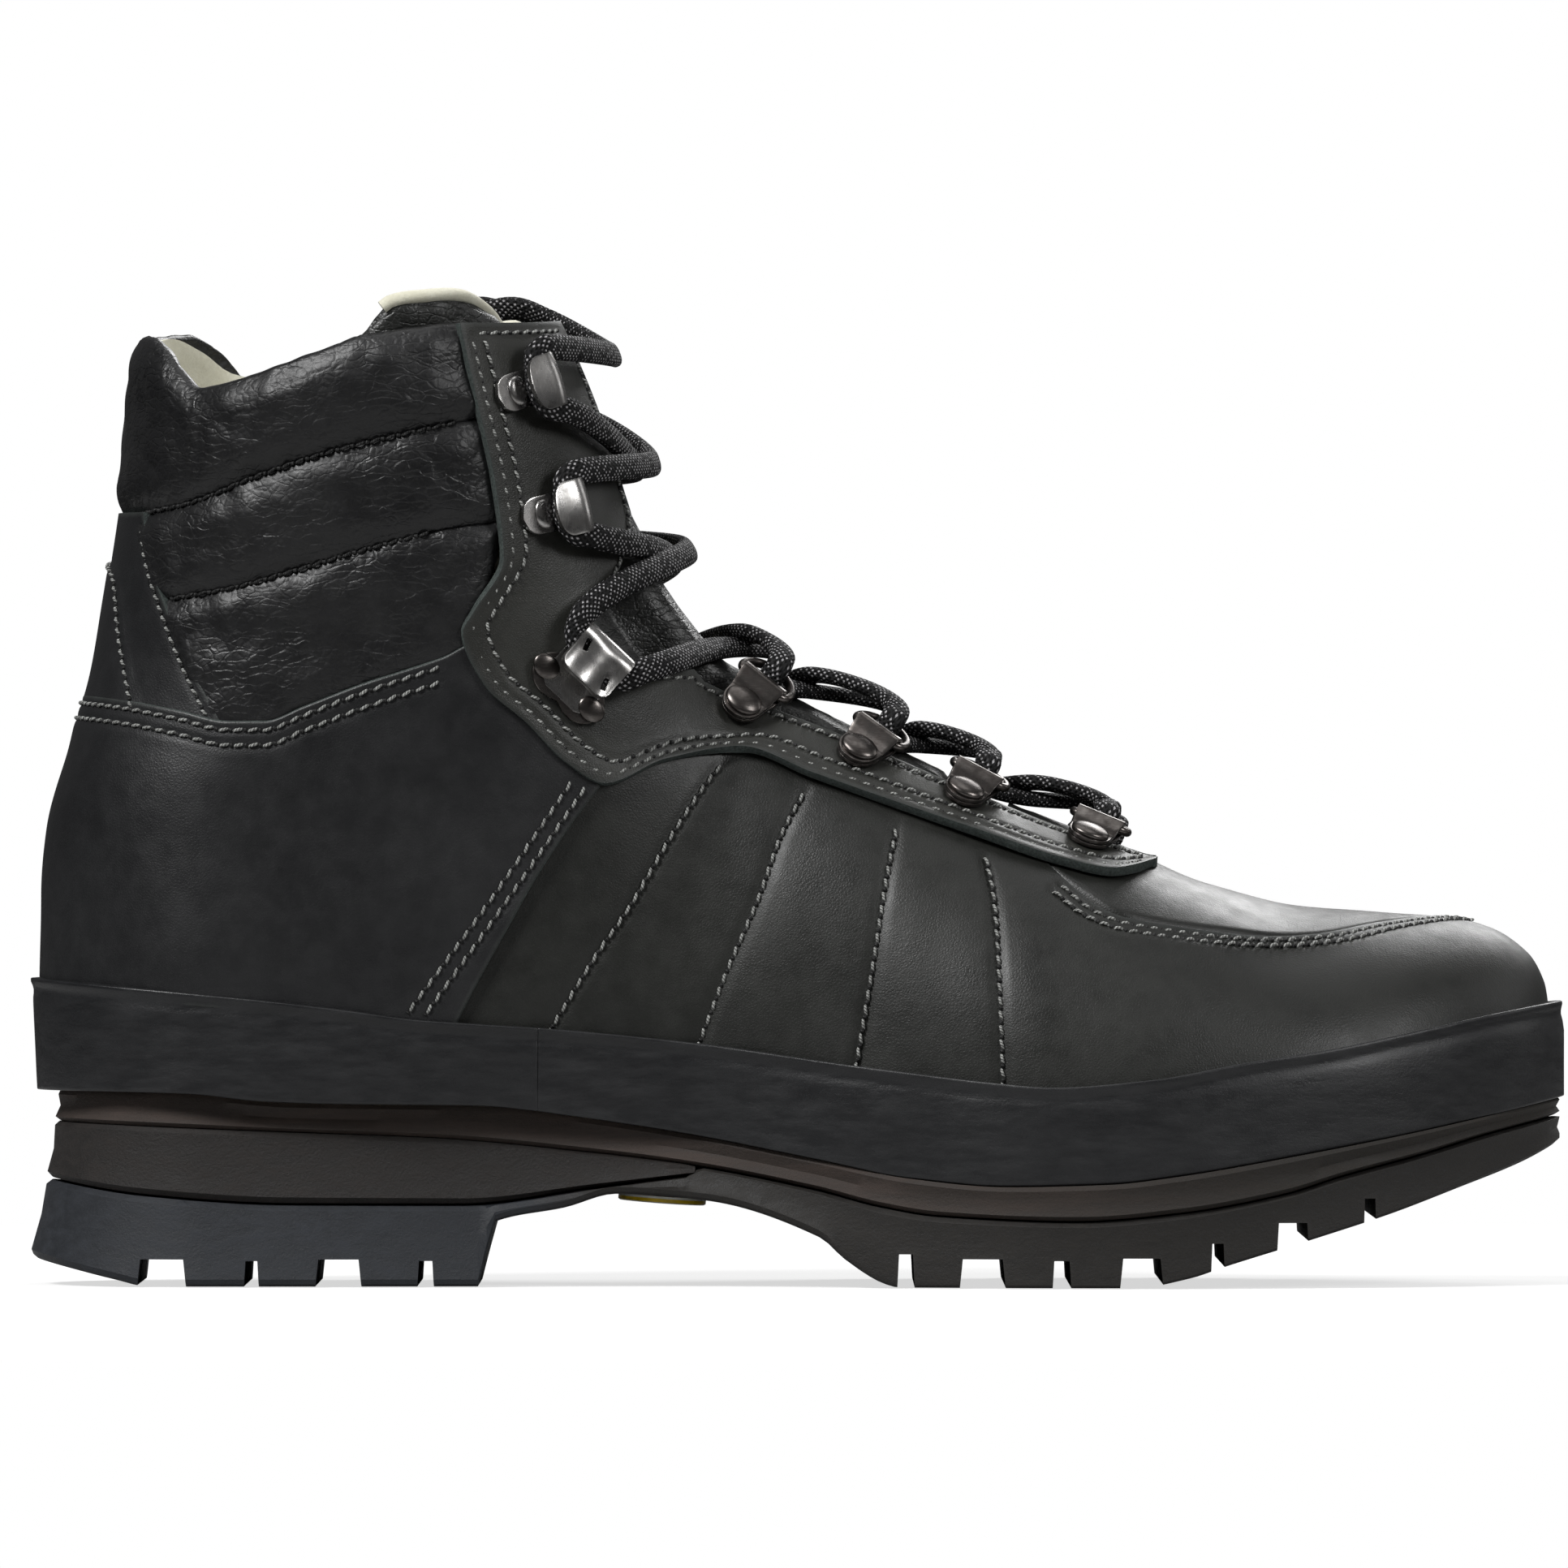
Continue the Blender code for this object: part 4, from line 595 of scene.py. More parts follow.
def faces_outward(points, outward):
    """True if a grid's faces, in grid order, turn to the outward side."""
    across = points[:-1, 1:] - points[:-1, :-1]
    up = points[1:, :-1] - points[:-1, :-1]
    return float(np.sum(np.cross(across, up) * outward[:-1, :-1])) > 0


def from_low_edge(points):
    """How far each point of a grid is along its column."""
    return np.array([lengths(column) for column in points.swapaxes(0, 1)]).T


def from_top_edge(points):
    return from_low_edge(points[::-1])[::-1]


def border_distance(points):
    """How far each point of a grid is from the nearest border, along the sheet."""
    across = np.array([lengths(row) for row in points])
    up = from_low_edge(points)
    return np.minimum.reduce([across, across[:, -1:] - across, up, up[-1:] - up])


def set_edge(mesh, distance):
    """Stores each point's distance from a cut edge, in millimetres, for the leather's rubbed edges."""
    stored = mesh.attributes.new("edge", "FLOAT", "POINT")
    stored.data.foreach_set("value", np.asarray(distance, float).ravel())


def sheet_mesh(name, points, outward, edge):
    rows, columns = points.shape[:2]
    faces = grid_faces(rows, columns, turned=not faces_outward(points, outward))
    mesh = mesh_of(name, points.reshape(-1, 3), faces)
    set_edge(mesh, edge)
    smooth(mesh, 60)
    return mesh


def add_rounding(piece, width, angle, segments=2):
    """Bevels the edges of a piece that are sharper than an angle in degrees."""
    bevel = piece.modifiers.new("rounding", "BEVEL")
    bevel.width = width * MM
    bevel.segments = segments
    bevel.limit_method = "ANGLE"
    bevel.angle_limit = math.radians(angle)


CUT_SLOT = 1  # a panel's second material is the look of its cut edge


def thicken(piece, thick, rounding=0.45):
    """Gives a sheet its thickness inwards, with rounded edges."""
    solidify = piece.modifiers.new("thickness", "SOLIDIFY")
    solidify.thickness = thick * MM
    solidify.offset = -1
    solidify.material_offset_rim = CUT_SLOT
    add_rounding(piece, rounding, 50)


def evened(points, columns):
    """The same rows of points, each spread evenly along its own length."""
    return np.array([resampled(row, columns) for row in points])


def ripple(points, size, seed, stretch=(1, 1, 1), waves=14):
    """Smooth noise of about unit height, whose bumps are about `size` apart."""
    draw = np.random.default_rng(seed)
    ways = draw.normal(size=(waves, 3))
    ways *= draw.uniform(0.6, 1.4, (waves, 1)) / np.linalg.norm(ways, axis=1, keepdims=True)
    phases = draw.uniform(0, 2 * math.pi, waves)
    place = points / np.asarray(stretch, float)
    total = np.sin(place @ ways.T * (2 * math.pi / size) + phases).sum(axis=-1)
    return total * math.sqrt(2 / waves)


def distance_to(points, lines):
    """The distance from each point to the nearest of some lines of closely spaced points."""
    spots = np.concatenate(lines)
    tree = kdtree.KDTree(len(spots))
    for index, spot in enumerate(spots):
        tree.insert(spot, index)
    tree.balance()
    flat = points.reshape(-1, 3)
    return np.array([tree.find(spot)[2] for spot in flat]).reshape(points.shape[:-1])


def dip(distance, width, depth):
    """A soft groove: how far the surface lies lower at a distance from its middle line."""
    return -depth * np.exp(-((distance / width) ** 2))


def panel(name, skin, depth, thick, looks, nodes=(), relief=0.0, rounding=0.45):
    """A patch of the skin with relief, given as heights in millimetres, and a rounded cut edge."""
    outward = normals_at(skin)
    lift = np.broadcast_to(relief, skin.shape[:2])
    depths = np.broadcast_to(depth, skin.shape[:2])
    sheet = skin - outward * (depths - lift)[..., None]
    piece = add_piece(name, sheet_mesh(name, sheet, outward, border_distance(sheet)), looks, nodes)
    thicken(piece, thick, rounding)
    return piece


# ---------------------------------------------------------------- lines and patches on the skin


def shifted(points, dz):
    return [(x, z + dz) for x, z in points]


def skin_line(points, side, count=240):
    """A line on the skin through (x, z) points, its points spread evenly."""
    place = route(points, 3 * count)
    x = np.maximum(place[:, 0], back_line(place[:, 1]))
    return resampled(on_side(x, place[:, 1], side), count)


def ahead_of_back(place):
    """How far (x, z) places lie ahead of the back line. The last lies on it."""
    ahead = np.maximum(place[:, 0] - back_line(place[:, 1]), 0)
    ahead[-1] = 0
    return ahead


def heel_line(points, count=480):
    """A line from the outer side, round the heel, to the inner side. The points end on the back line."""
    place = route(points, 600)
    x = back_line(place[:, 1]) + ahead_of_back(place)
    outer = on_side(x, place[:, 1], -1)
    inner = on_side(x, place[:, 1], 1)[::-1]
    return resampled(np.concatenate([outer[:-1], inner]), count)


def heel_edge(line, count):
    """Columns from the side to the back of the heel, as (distance from the back line, height)."""
    spread = route(line, count)
    ahead = ahead_of_back(spread)
    place = np.linspace(0, 1, count)
    wanted = np.sin(place * math.pi / 2)
    return np.stack([np.interp(wanted, place, ahead), np.interp(wanted, place, spread[:, 1])], axis=-1)


def heel_wrap(bottom, top, rows, columns, top_inner=None):
    """Skin points between two edges that run from the outer side, round the heel, to the inner side."""
    t = np.linspace(0, 1, rows)[:, None, None]
    halves = []
    for side, edge in ((-1, top), (1, top_inner or top)):
        place = heel_edge(bottom, 300) * (1 - t) + heel_edge(edge, 300) * t
        height = place[..., 1]
        halves.append(on_side(back_line(height) + place[..., 0], height, side))
    outer, inner = halves[0], halves[1][:, ::-1]
    return evened(np.concatenate([outer[:, :-1], inner], axis=1), columns)


def side_patch(bottom, top, rows, columns, side):
    """Skin points between two edges on one side of the boot, each given as (x, z) points."""
    t = np.linspace(0, 1, rows)[:, None, None]
    place = route(bottom, columns) * (1 - t) + route(top, columns) * t
    return on_side(place[..., 0], place[..., 1], side)


def across_middle(edge):
    """The same edge on the other side of the middle line."""
    other = edge.copy()
    other[:, 1] = 2 * centre_line(other[:, 0]) - other[:, 1]
    return other


def mirrored(edge):
    """An edge from the outer side to the middle line, carried on to the inner side."""
    return np.concatenate([edge[:-1], across_middle(edge[::-1])])


def outer_edge(points, count, side=-1):
    """A smooth edge through (x, distance from the middle, z) points, on one side."""
    edge = route(points, count)
    edge[:, 1] = centre_line(edge[:, 0]) + side * edge[:, 1]
    return edge


def filled(low, high, rows):
    """Skin points on a grid between two edges in space."""
    t = np.linspace(0, 1, rows)[:, None, None]
    return pushed_to_skin(low * (1 - t) + high * t)


def foot_edge(start, lift, count):
    """The feather line round the toe, from x = start on the outer side to the same on the inner side."""
    x = start + (TOE_X - start) * np.sin(np.linspace(0, math.pi / 2, count))
    return mirrored(on_side(x, rand_bottom(x) + lift, -1))


QUARTER_BESIDE_COLLAR = [(-70, 123.6), (-86.3, 118.2), (-97, 114.1), (-105, 111.2)]
QUARTER_BACK = QUARTER_BESIDE_COLLAR + [(-112, 111.2), (-122, 113.4), (-133.6, 115.6), (-142.6, 116.7)]
QUARTER_TOP = [(-38.4, 98.6), (-43.6, 104.0), (-52.2, 112.4), (-60.2, 119.4), (-63.6, 126.6)] + QUARTER_BACK
QUARTER_BOTTOM = [(-68.0, 52.4), (-85, 54.4), (-98, 56.2), (-125, 58.6), (-150.8, 61.4)]
QUARTER_LOW = shifted(QUARTER_BOTTOM, dz=-3.0)
SEAM_LOW = [(-60.2, 150.6), (-71.8, 148.2), (-86.3, 144.4), (-97.1, 141.2), (-112.1, 137.3),
            (-124.5, 135.4)]
SEAM_HIGH = [(-63.4, 170.6), (-66.2, 170.0), (-79.1, 167.1), (-93.4, 163.6), (-107.9, 158.9),
             (-120.8, 154.2), (-130.8, 152.4), (-135.1, 152.2)]
COLLAR_TOP = [(-64.2, 189.8), (-84.0, 186.6), (-98, 182.2), (-111.4, 177.8), (-119.5, 176.2),
              (-124.5, 180.5), (-129, 185.6), (-132.2, 187.2)]
FRONT_ROWS = [[(-41.4, 98.6), (-57.2, 75.8), (-73.2, 53.4)], [(-44.2, 99.6), (-60.2, 76.2), (-76.6, 53.8)]]
TOP_ROWS = [1.7, 4.7]
CROSS_SEAMS = [[(-14.2, 103.7), (-17.9, 99.0), (-24.6, 88.6), (-32.5, 75.0), (-39.3, 65.2), (-49.5, 48.6)],
               [(1.6, 98.4), (-3.1, 89.8), (-7.9, 76.8), (-14.2, 62.1), (-20.3, 45.8)],
               [(19.8, 91.6), (17.4, 80.5), (14.8, 65.2), (10.8, 41.8)],
               [(37.4, 86.1), (38.8, 77.4), (39.3, 67.1), (40.0, 38.0)]]


def wave(skin, seed, height=0.16, size=38):
    """The slight unevenness of leather stretched over a last."""
    return height * ripple(skin, size, seed, waves=9)


def top_row(offset):
    return heel_line(shifted(QUARTER_BACK, dz=-offset))


def make_heel_quarter():
    skin = heel_wrap(QUARTER_LOW, QUARTER_TOP, 64, 250)
    rows = [skin_line(row, side) for row in FRONT_ROWS for side, _ in SIDES]
    rows += [top_row(offset) for offset in TOP_ROWS]
    to_rows = distance_to(skin, rows)
    relief = wave(skin, 3, 0.4, 40) * (1 - np.exp(-((to_rows / 5) ** 2))) + dip(to_rows, 0.8, 0.32)
    panel("quarter_leather", skin, OVERLAY_DEPTH, OVERLAY_THICK, [LEATHER, CUT_EDGE], ["heel_quarter"],
          relief)
    stitched("quarter_stitching", rows, OVERLAY_DEPTH, THREAD)


VAMP_TOP = [(-51, 109.5), (-40, 104.5), (-33, 106), (-24, 109), (-12, 110.5), (3, 105.5), (19, 100),
            (35, 94), (46, 89.5)]
PLUG_SEAM = [(53, 30, 81), (59, 33.5, 75.5), (66, 34.8, 73), (80, 33.2, 72), (103, 24, 71), (117, 13, 73.5),
             (130.5, 0, 74)]
PLUG_UNDER = [(42, 24, 88), (55.5, 33, 76.5), (66, 37, 71), (80, 35.6, 70), (104, 26.5, 69), (119, 15, 72),
              (133.5, 0, 73)]


def plug_row(offset):
    """A stitch row round the plug, outside its seam by an offset."""
    seam = mirrored(outer_edge(PLUG_SEAM, 150))
    middle = np.array([70.0, centre_line(70.0), 60.0])
    away = seam - middle
    away[:, 2] = 0
    return resampled(pushed_to_skin(seam + unit(away) * offset), 400)


def make_vamp():
    low = resampled(foot_edge(-73, 1.6, 260), 420)
    under_facing = skin_line(VAMP_TOP, -1, 150)
    seam = np.concatenate([under_facing, outer_edge(PLUG_SEAM, 150)])
    high = resampled(mirrored(route(seam[::6], 240)), 420)
    skin = filled(low, high, 62)
    crossing = [skin_line(row, side) for row in CROSS_SEAMS for side, _ in SIDES]
    round_plug = [plug_row(offset) for offset in (1.9, 5.0)]
    to_crossing = distance_to(skin, crossing)
    to_plug = distance_to(skin, [plug_row(0)])
    relief = wave(skin, 5) + dip(to_crossing, 1.0, 0.5) + dip(to_crossing, 4.5, 0.3)
    relief += dip(distance_to(skin, round_plug), 0.8, 0.35) + 0.55 * np.exp(-((to_plug / 5) ** 2))
    panel("vamp_leather", skin, BASE_DEPTH, BASE_THICK, [TOE_LEATHER, CUT_EDGE], ["vamp"],
          relief)
    stitched("vamp_stitching", crossing, BASE_DEPTH + 0.25, THREAD)
    stitched("toe_seam_stitching", round_plug, BASE_DEPTH - 0.3, THREAD)


def make_vamp_plug():
    outer = outer_edge(PLUG_UNDER, 240)[:-1]
    skin = evened(filled(outer, across_middle(outer), 70), 110)
    sunk = np.clip(1 - (border_distance(skin) - 1.5) / 4.0, 0, 1)
    sunk[:, :14] *= np.linspace(0, 1, 14)
    depth = BASE_DEPTH - 0.2 + 2.3 * sunk**2 * (3 - 2 * sunk)
    panel("toe_plug_leather", skin, depth, 1.3, [TOE_LEATHER, CUT_EDGE], ["vamp_plug"],
          wave(skin, 6, 0.2, 30))


FACING_OUTER = [(-66.7, 189.4), (-63.1, 173.9), (-59.6, 157.8), (-58.0, 143.3), (-63.8, 132.6),
                (-65.8, 128.8), (-61.5, 118.3), (-53.5, 111.1), (-45.4, 103.0), (-38.0, 99.0), (-26.1, 103.8), (-12, 106),
                (3, 100.6), (19, 95), (35, 89.4), (52.8, 83.4), (62, 81.6), (70.6, 83.5)]
FACING_INNER = [(-47.0, 11.5, 190.4), (-39.5, 11.5, 172), (-34, 11.5, 154), (-37.5, 22, 142),
                (-43, 31, 132), (-40.5, 30, 126), (-34, 27, 123), (-25, 23, 121.3), (-15, 17, 121.5), (-9, 15, 119.5),
                (0, 14.8, 115.5), (14, 14.8, 108.5), (26, 14.8, 102.5), (38, 14.8, 97), (54, 14.4, 90),
                (64, 13.2, 87.2), (71.2, 10.9, 85)]


def relaxed(skin, passes=60):
    """The grid with its inner points drawn between their neighbours, so that no column crosses another."""
    grid = skin.copy()
    for _ in range(passes):
        grid[1:-1, 1:-1] = (grid[:-2, 1:-1] + grid[2:, 1:-1] + grid[1:-1, :-2] + grid[1:-1, 2:]) / 4
    return pushed_to_skin(grid)


def grid_row(skin, low_distance):
    """A line across a facing's grid at a distance from its low edge, or from its high edge if negative."""
    spots = []
    for column in skin.swapaxes(0, 1):
        along = lengths(column)
        wanted = low_distance if low_distance > 0 else along[-1] + low_distance
        spots.append([np.interp(wanted, along, axis) for axis in column.T])
    return np.array(spots)


def make_facings():
    for side, word in SIDES:
        outer = route(FACING_OUTER, 210)
        low = on_side(outer[:, 0], outer[:, 1], side)
        skin = relaxed(filled(low, outer_edge(FACING_INNER, 210, side), 30))
        rows = [grid_row(skin, 2.1), grid_row(skin, 5.0), grid_row(skin, -1.8)]
        rows = [resampled(row[3:-3], 420) for row in rows]
        rows.append(resampled(skin[3:-4, 2], 60))
        relief = wave(skin, 8, 0.1, 30) + dip(distance_to(skin, rows), 0.8, 0.3)
        relief += 0.9 * np.exp(-((from_low_edge(skin) / 5.0) ** 2))
        panel(f"facing_leather_{word}", skin, OVERLAY_DEPTH, 2.0, [FACING, CUT_EDGE], [f"facing_{word}"],
              relief)
        stitched(f"facing_stitching_{word}", rows[:2], OVERLAY_DEPTH - 0.3, THREAD)
        stitched(f"facing_edge_stitching_{word}", rows[2:], OVERLAY_DEPTH, THREAD)


backstay_reach = through((111, 29.6), (122, 20.4), (134, 13.0), (144, 7.9), (152, 5.6))
quarter_top_line = through(*reversed(QUARTER_BACK))
STRIP_EDGE = [(-139.4, 143.2), (-137.4, 142.4), (-135.4, 138.8), (-134.4, 129.4), (-131.5, 113.6)]


def make_backstay():
    """The strip up the back of the heel, tucked under the quarter's edge, with another sewn on it."""
    reach = np.linspace(0, 1, 160) ** 1.6
    side_heights = np.linspace(109.5, 152.6, 44)[:, None]
    share = np.linspace(1, 0, 44)[:, None]
    base_x = back_line(115.0) + backstay_reach(112.0) * reach[::-1]
    rise = (quarter_top_line(base_x) - quarter_top_line(base_x[0])) * share
    height = side_heights + rise
    x = back_line(height) + backstay_reach(side_heights) * reach[::-1]
    outer = on_side(x, height, -1)
    inner = on_side(x, height, 1)[:, ::-1]
    skin = evened(np.concatenate([outer[:, :-1], inner], axis=1), 72)
    strip = [skin_line(STRIP_EDGE, side) for side, _ in SIDES]
    edge = [resampled(skin[2:-3, column], 120) for column in (2, -3)]
    x, height = skin[..., 0], skin[..., 2]
    strip_x = through(*[(z, x) for x, z in reversed(STRIP_EDGE)])(height)
    on_strip = np.clip((strip_x + 1.4 - x) / 0.8, 0, 1) * np.clip((145.0 - height) / 0.8, 0, 1)
    relief = 0.5 * on_strip + dip(distance_to(skin, strip + edge), 0.7, 0.25)
    panel("backstay_leather", skin, OVERLAY_DEPTH + 0.7, 3.2, [LEATHER, CUT_EDGE], ["backstay"],
          relief)
    stitched("backstay_stitching", strip, OVERLAY_DEPTH + 0.15, THREAD, pitch=2.3)
    stitched("backstay_edge_stitching", edge, OVERLAY_DEPTH + 0.7, THREAD, pitch=2.3)


# ---------------------------------------------------------------- stitching


def stitch_points(line, start, end, radius, slant, depth):
    """One stitch: a short thread that rises from the leather and dives back in."""
    share = np.linspace(0, 1, 6)
    along = lengths(line)
    where = start + (end - start) * share
    spine = np.stack([np.interp(where, along, axis) for axis in line.T], axis=-1)
    outward = normals_at(spine)
    way = spine[-1] - spine[0]
    way /= np.linalg.norm(way)
    across = np.cross(outward, way)
    height = np.array([-0.55, 0.02, 0.16, 0.16, 0.02, -0.55])
    spine = spine + outward * (height - depth)[:, None] + across * (slant * (share - 0.5))[:, None]
    turn = np.linspace(0, 2 * math.pi, 7)[:-1]
    thick = radius * np.array([0.6, 1.0, 1.1, 1.1, 1.0, 0.6])
    ring = np.cos(turn)[None, :, None] * across[:, None] + np.sin(turn)[None, :, None] * outward[:, None]
    points = spine[:, None] + ring * thick[:, None, None]
    uv = np.stack(np.broadcast_arrays(where[:, None], turn[None, :] * 0.3), axis=-1)
    return points.reshape(-1, 3), uv.reshape(-1, 2)


def tube_faces(rings, sides, first=0):
    """The quads round a tube, whose ends stay open."""
    index = first + np.arange(rings * sides).reshape(rings, sides)
    after = np.roll(index, -1, axis=1)
    return np.stack([index[:-1], after[:-1], after[1:], index[1:]], axis=-1).reshape(-1, 4).tolist()


def stitched(name, lines, depth, look, pitch=2.9, radius=0.3):
    """A row of separate stitches along each line, with a near-black dash between each two as the painted shade of a
    needle hole.
    """
    draw = np.random.default_rng(len(name))
    points, uvs, faces, looks = [], [], [], []

    def add_dash(line, start, end, thick, slant, down, look_slot):
        spots, uv = stitch_points(line, start, end, thick, slant, down)
        first = sum(map(len, points))
        made = tube_faces(6, 6, first)
        made += [list(range(first + 5, first - 1, -1)), list(range(first + 30, first + 36))]
        points.append(spots)
        uvs.append(uv)
        faces.extend(made)
        looks.extend([look_slot] * len(made))

    for line in lines:
        total = lengths(line)[-1]
        count = max(1, int(total / pitch))
        step = total / count
        for number in range(count):
            start = (number + 0.13 + draw.uniform(-0.03, 0.03)) * step
            slant = draw.uniform(0.35, 0.65)
            add_dash(line, start, start + 0.76 * step, radius, slant, depth, 0)
            # Painted shade: a near-black dash, sunk a little deeper, stands in for the shadow in the needle hole.
            add_dash(line, start + 0.70 * step, start + 1.06 * step, 1.25 * radius, 0, depth + 0.22, 1)
    mesh = mesh_of(name, np.concatenate(points), faces, np.concatenate(uvs))
    mesh.polygons.foreach_set("material_index", looks)
    smooth(mesh, 60)
    add_piece(name, mesh, [look, DARK_THREAD_AND_HOLE_SHADE])


# ---------------------------------------------------------------- padded collar

PAD_PRESSURE, PAD_MOST_MOVE, PAD_FRAMES = 4.0, 1.0, 14
PAD_CREASE, TONGUE_CREASE = 0.15, 0.22


def pillow(name, skin, swell):
    """A closed pad, crowned between its edges and flat at its back, and which of its points may swell."""
    outward = normals_at(skin)
    inside = border_distance(skin)
    crown = 1 - np.clip(1 - inside / 7.0, 0, 1) ** 2.2
    face = skin - outward * (PAD_SEAM_DEPTH - swell * crown)[..., None]
    back = skin - outward * PAD_BACK_DEPTH
    free = np.concatenate([inside.ravel(), np.zeros(inside.size)]) > 0.5
    return shell_mesh(name, face, back, outward), free


def eased(moved, mesh, free, passes=10):
    """The movement of each point evened out with that of its neighbours, as thick leather would take it."""
    ends = np.array([edge.vertices[:] for edge in mesh.edges])
    count = np.bincount(ends.ravel(), minlength=len(moved))[:, None]
    for _ in range(passes):
        total = np.zeros_like(moved)
        np.add.at(total, ends[:, 0], moved[ends[:, 1]])
        np.add.at(total, ends[:, 1], moved[ends[:, 0]])
        moved = (moved + total / count) / 2 * free[:, None]
    return moved


def inflate(mesh, free):
    """Swells the pad's cloth by pressure while its seams and back stay where they are."""
    scene = bpy.context.scene
    piece = linked("pad", mesh)
    held = piece.vertex_groups.new(name="held")
    held.add([int(index) for index in np.flatnonzero(~free)], 1.0, "ADD")
    cloth = piece.modifiers.new("cloth", "CLOTH")
    settings = cloth.settings
    settings.quality = 4
    settings.mass = 0.2
    settings.tension_stiffness = settings.compression_stiffness = 25
    settings.shear_stiffness = 12
    settings.bending_stiffness = 8
    settings.use_pressure = True
    settings.uniform_pressure_force = PAD_PRESSURE
    settings.effector_weights.gravity = 0
    settings.vertex_group_mass = "held"
    cloth.point_cache.frame_start, cloth.point_cache.frame_end = 1, PAD_FRAMES
    for step in range(1, PAD_FRAMES + 1):
        scene.frame_set(step)
    swollen = piece.evaluated_get(bpy.context.evaluated_depsgraph_get()).to_mesh()
    rest = np.array([vertex.co for vertex in mesh.vertices])
    moved = eased(np.array([vertex.co for vertex in swollen.vertices]) - rest, mesh, free)
    far = np.linalg.norm(moved, axis=1, keepdims=True)
    moved *= np.minimum(1, PAD_MOST_MOVE * MM / np.maximum(far, 1e-9))
    for vertex, place in zip(mesh.vertices, rest + moved):
        vertex.co = place
    bpy.data.objects.remove(piece)
    scene.frame_set(1)


def crease(mesh, seed, depth, stretch=(2.2, 2.2, 0.8)):
    """Adds short, branching creases and a slack unevenness to a pad's mesh."""
    places = np.array([vertex.co for vertex in mesh.vertices]) / MM
    normals = np.array([vertex.normal for vertex in mesh.vertices])
    lean = places.copy()
    lean[:, 2] -= 0.28 * places[:, 0]
    lines = ripple(lean, 15, seed, stretch) + 0.35 * ripple(places, 5, seed + 1)
    others = ripple(lean, 11, seed + 5, stretch) + 0.35 * ripple(places, 4, seed + 6)
    where = np.clip(0.5 + 0.7 * ripple(places, 26, seed + 2, (1.6, 1.6, 0.8)), 0, 1)
    sunk = np.exp(-((lines / 0.16) ** 2)) * where + 0.7 * np.exp(-((others / 0.14) ** 2)) * (1 - where)
    slack = 0.13 * ripple(places, 17, seed + 3, (1.8, 1.8, 0.8)) + 0.1 * ripple(places, 7, seed + 4)
    offset = (slack - depth * sunk) * MM
    for vertex, normal, amount in zip(mesh.vertices, normals, offset):
        vertex.co += Vector(normal * amount)


def subdivide(mesh):
    """Halves every edge of a mesh, rounding it."""
    made = bmesh.new()
    made.from_mesh(mesh)
    bmesh.ops.subdivide_edges(made, edges=made.edges, cuts=1, use_grid_fill=True, smooth=0.6)
    made.to_mesh(mesh)
    made.free()


def make_pad(name, skin, nodes, seed, swell=1.9):
    mesh, free = pillow(name, skin, swell)
    inflate(mesh, free)
    subdivide(mesh)
    mesh.shade_smooth()
    crease(mesh, seed, PAD_CREASE)
    set_edge(mesh, np.full(len(mesh.vertices), UNWORN))
    piece = add_piece(name, mesh, [COLLAR], nodes)


def make_collar():
    top = [(x, z + 0.2) for x, z in COLLAR_TOP]
    low = [(-60.0, 171.2)] + shifted(SEAM_HIGH[1:], dz=0.15)
    inner_top = top[:4] + [(-113.0, 180.2), (-118.0, 185.2), (-124.0, 187.9), (-132.2, 187.4)]
    make_pad("collar_pad_upper", heel_wrap(low, top, 28, 190, inner_top), ["collar_upper"], 21, swell=2.5)
    low = [(-56.5, 150.9)] + SEAM_LOW[1:-1] + [(-129.5, 134.9)]
    high = [(-60.0, 170.9)] + shifted(SEAM_HIGH[1:6], dz=-0.15) + [(-132.6, 151.9)]
    bottom = [(-63.0, 124.0)] + shifted(QUARTER_BESIDE_COLLAR, dz=-2.6) + [(-117.5, 108.9)]
    for side, word in SIDES:
        skin = side_patch(shifted(low, dz=0.15), high, 22, 76, side)
        make_pad(f"collar_pad_middle_{word}", skin, [f"collar_middle_{word}"], 31 + side)
        skin = side_patch(bottom, shifted(low, dz=-0.15), 28, 72, side)
        make_pad(f"collar_pad_lower_{word}", skin, [f"collar_lower_{word}"], 41 + side)
        ditch = [skin_line(SEAM_LOW[1:], side), skin_line(SEAM_HIGH[1:7], side)]
        stitched(f"collar_stitching_{word}", ditch, PAD_SEAM_DEPTH - 0.55, DARK_THREAD_AND_HOLE_SHADE, pitch=3.1)


# ---------------------------------------------------------------- lining and tongue

LINING_COLLAR = [(-84, 38, 185.2), (-111, 30, 176.6), (-122, 20, 177.6), (-132, 0, 186.2)]
LINING_COLLAR_INNER = [(-84, 38, 185.2), (-106, 33, 179.5), (-112, 30, 180.5), (-118, 25, 184.6),
                       (-125, 16, 187.4), (-132, 0, 186.2)]
LINING_INNER = [(46, 17.5, 92), (20, 18, 104), (0, 21, 112), (-22, 28, 118), (-40, 34, 128), (-48, 29, 150),
                (-48, 23, 168), (-56, 24, 186)]


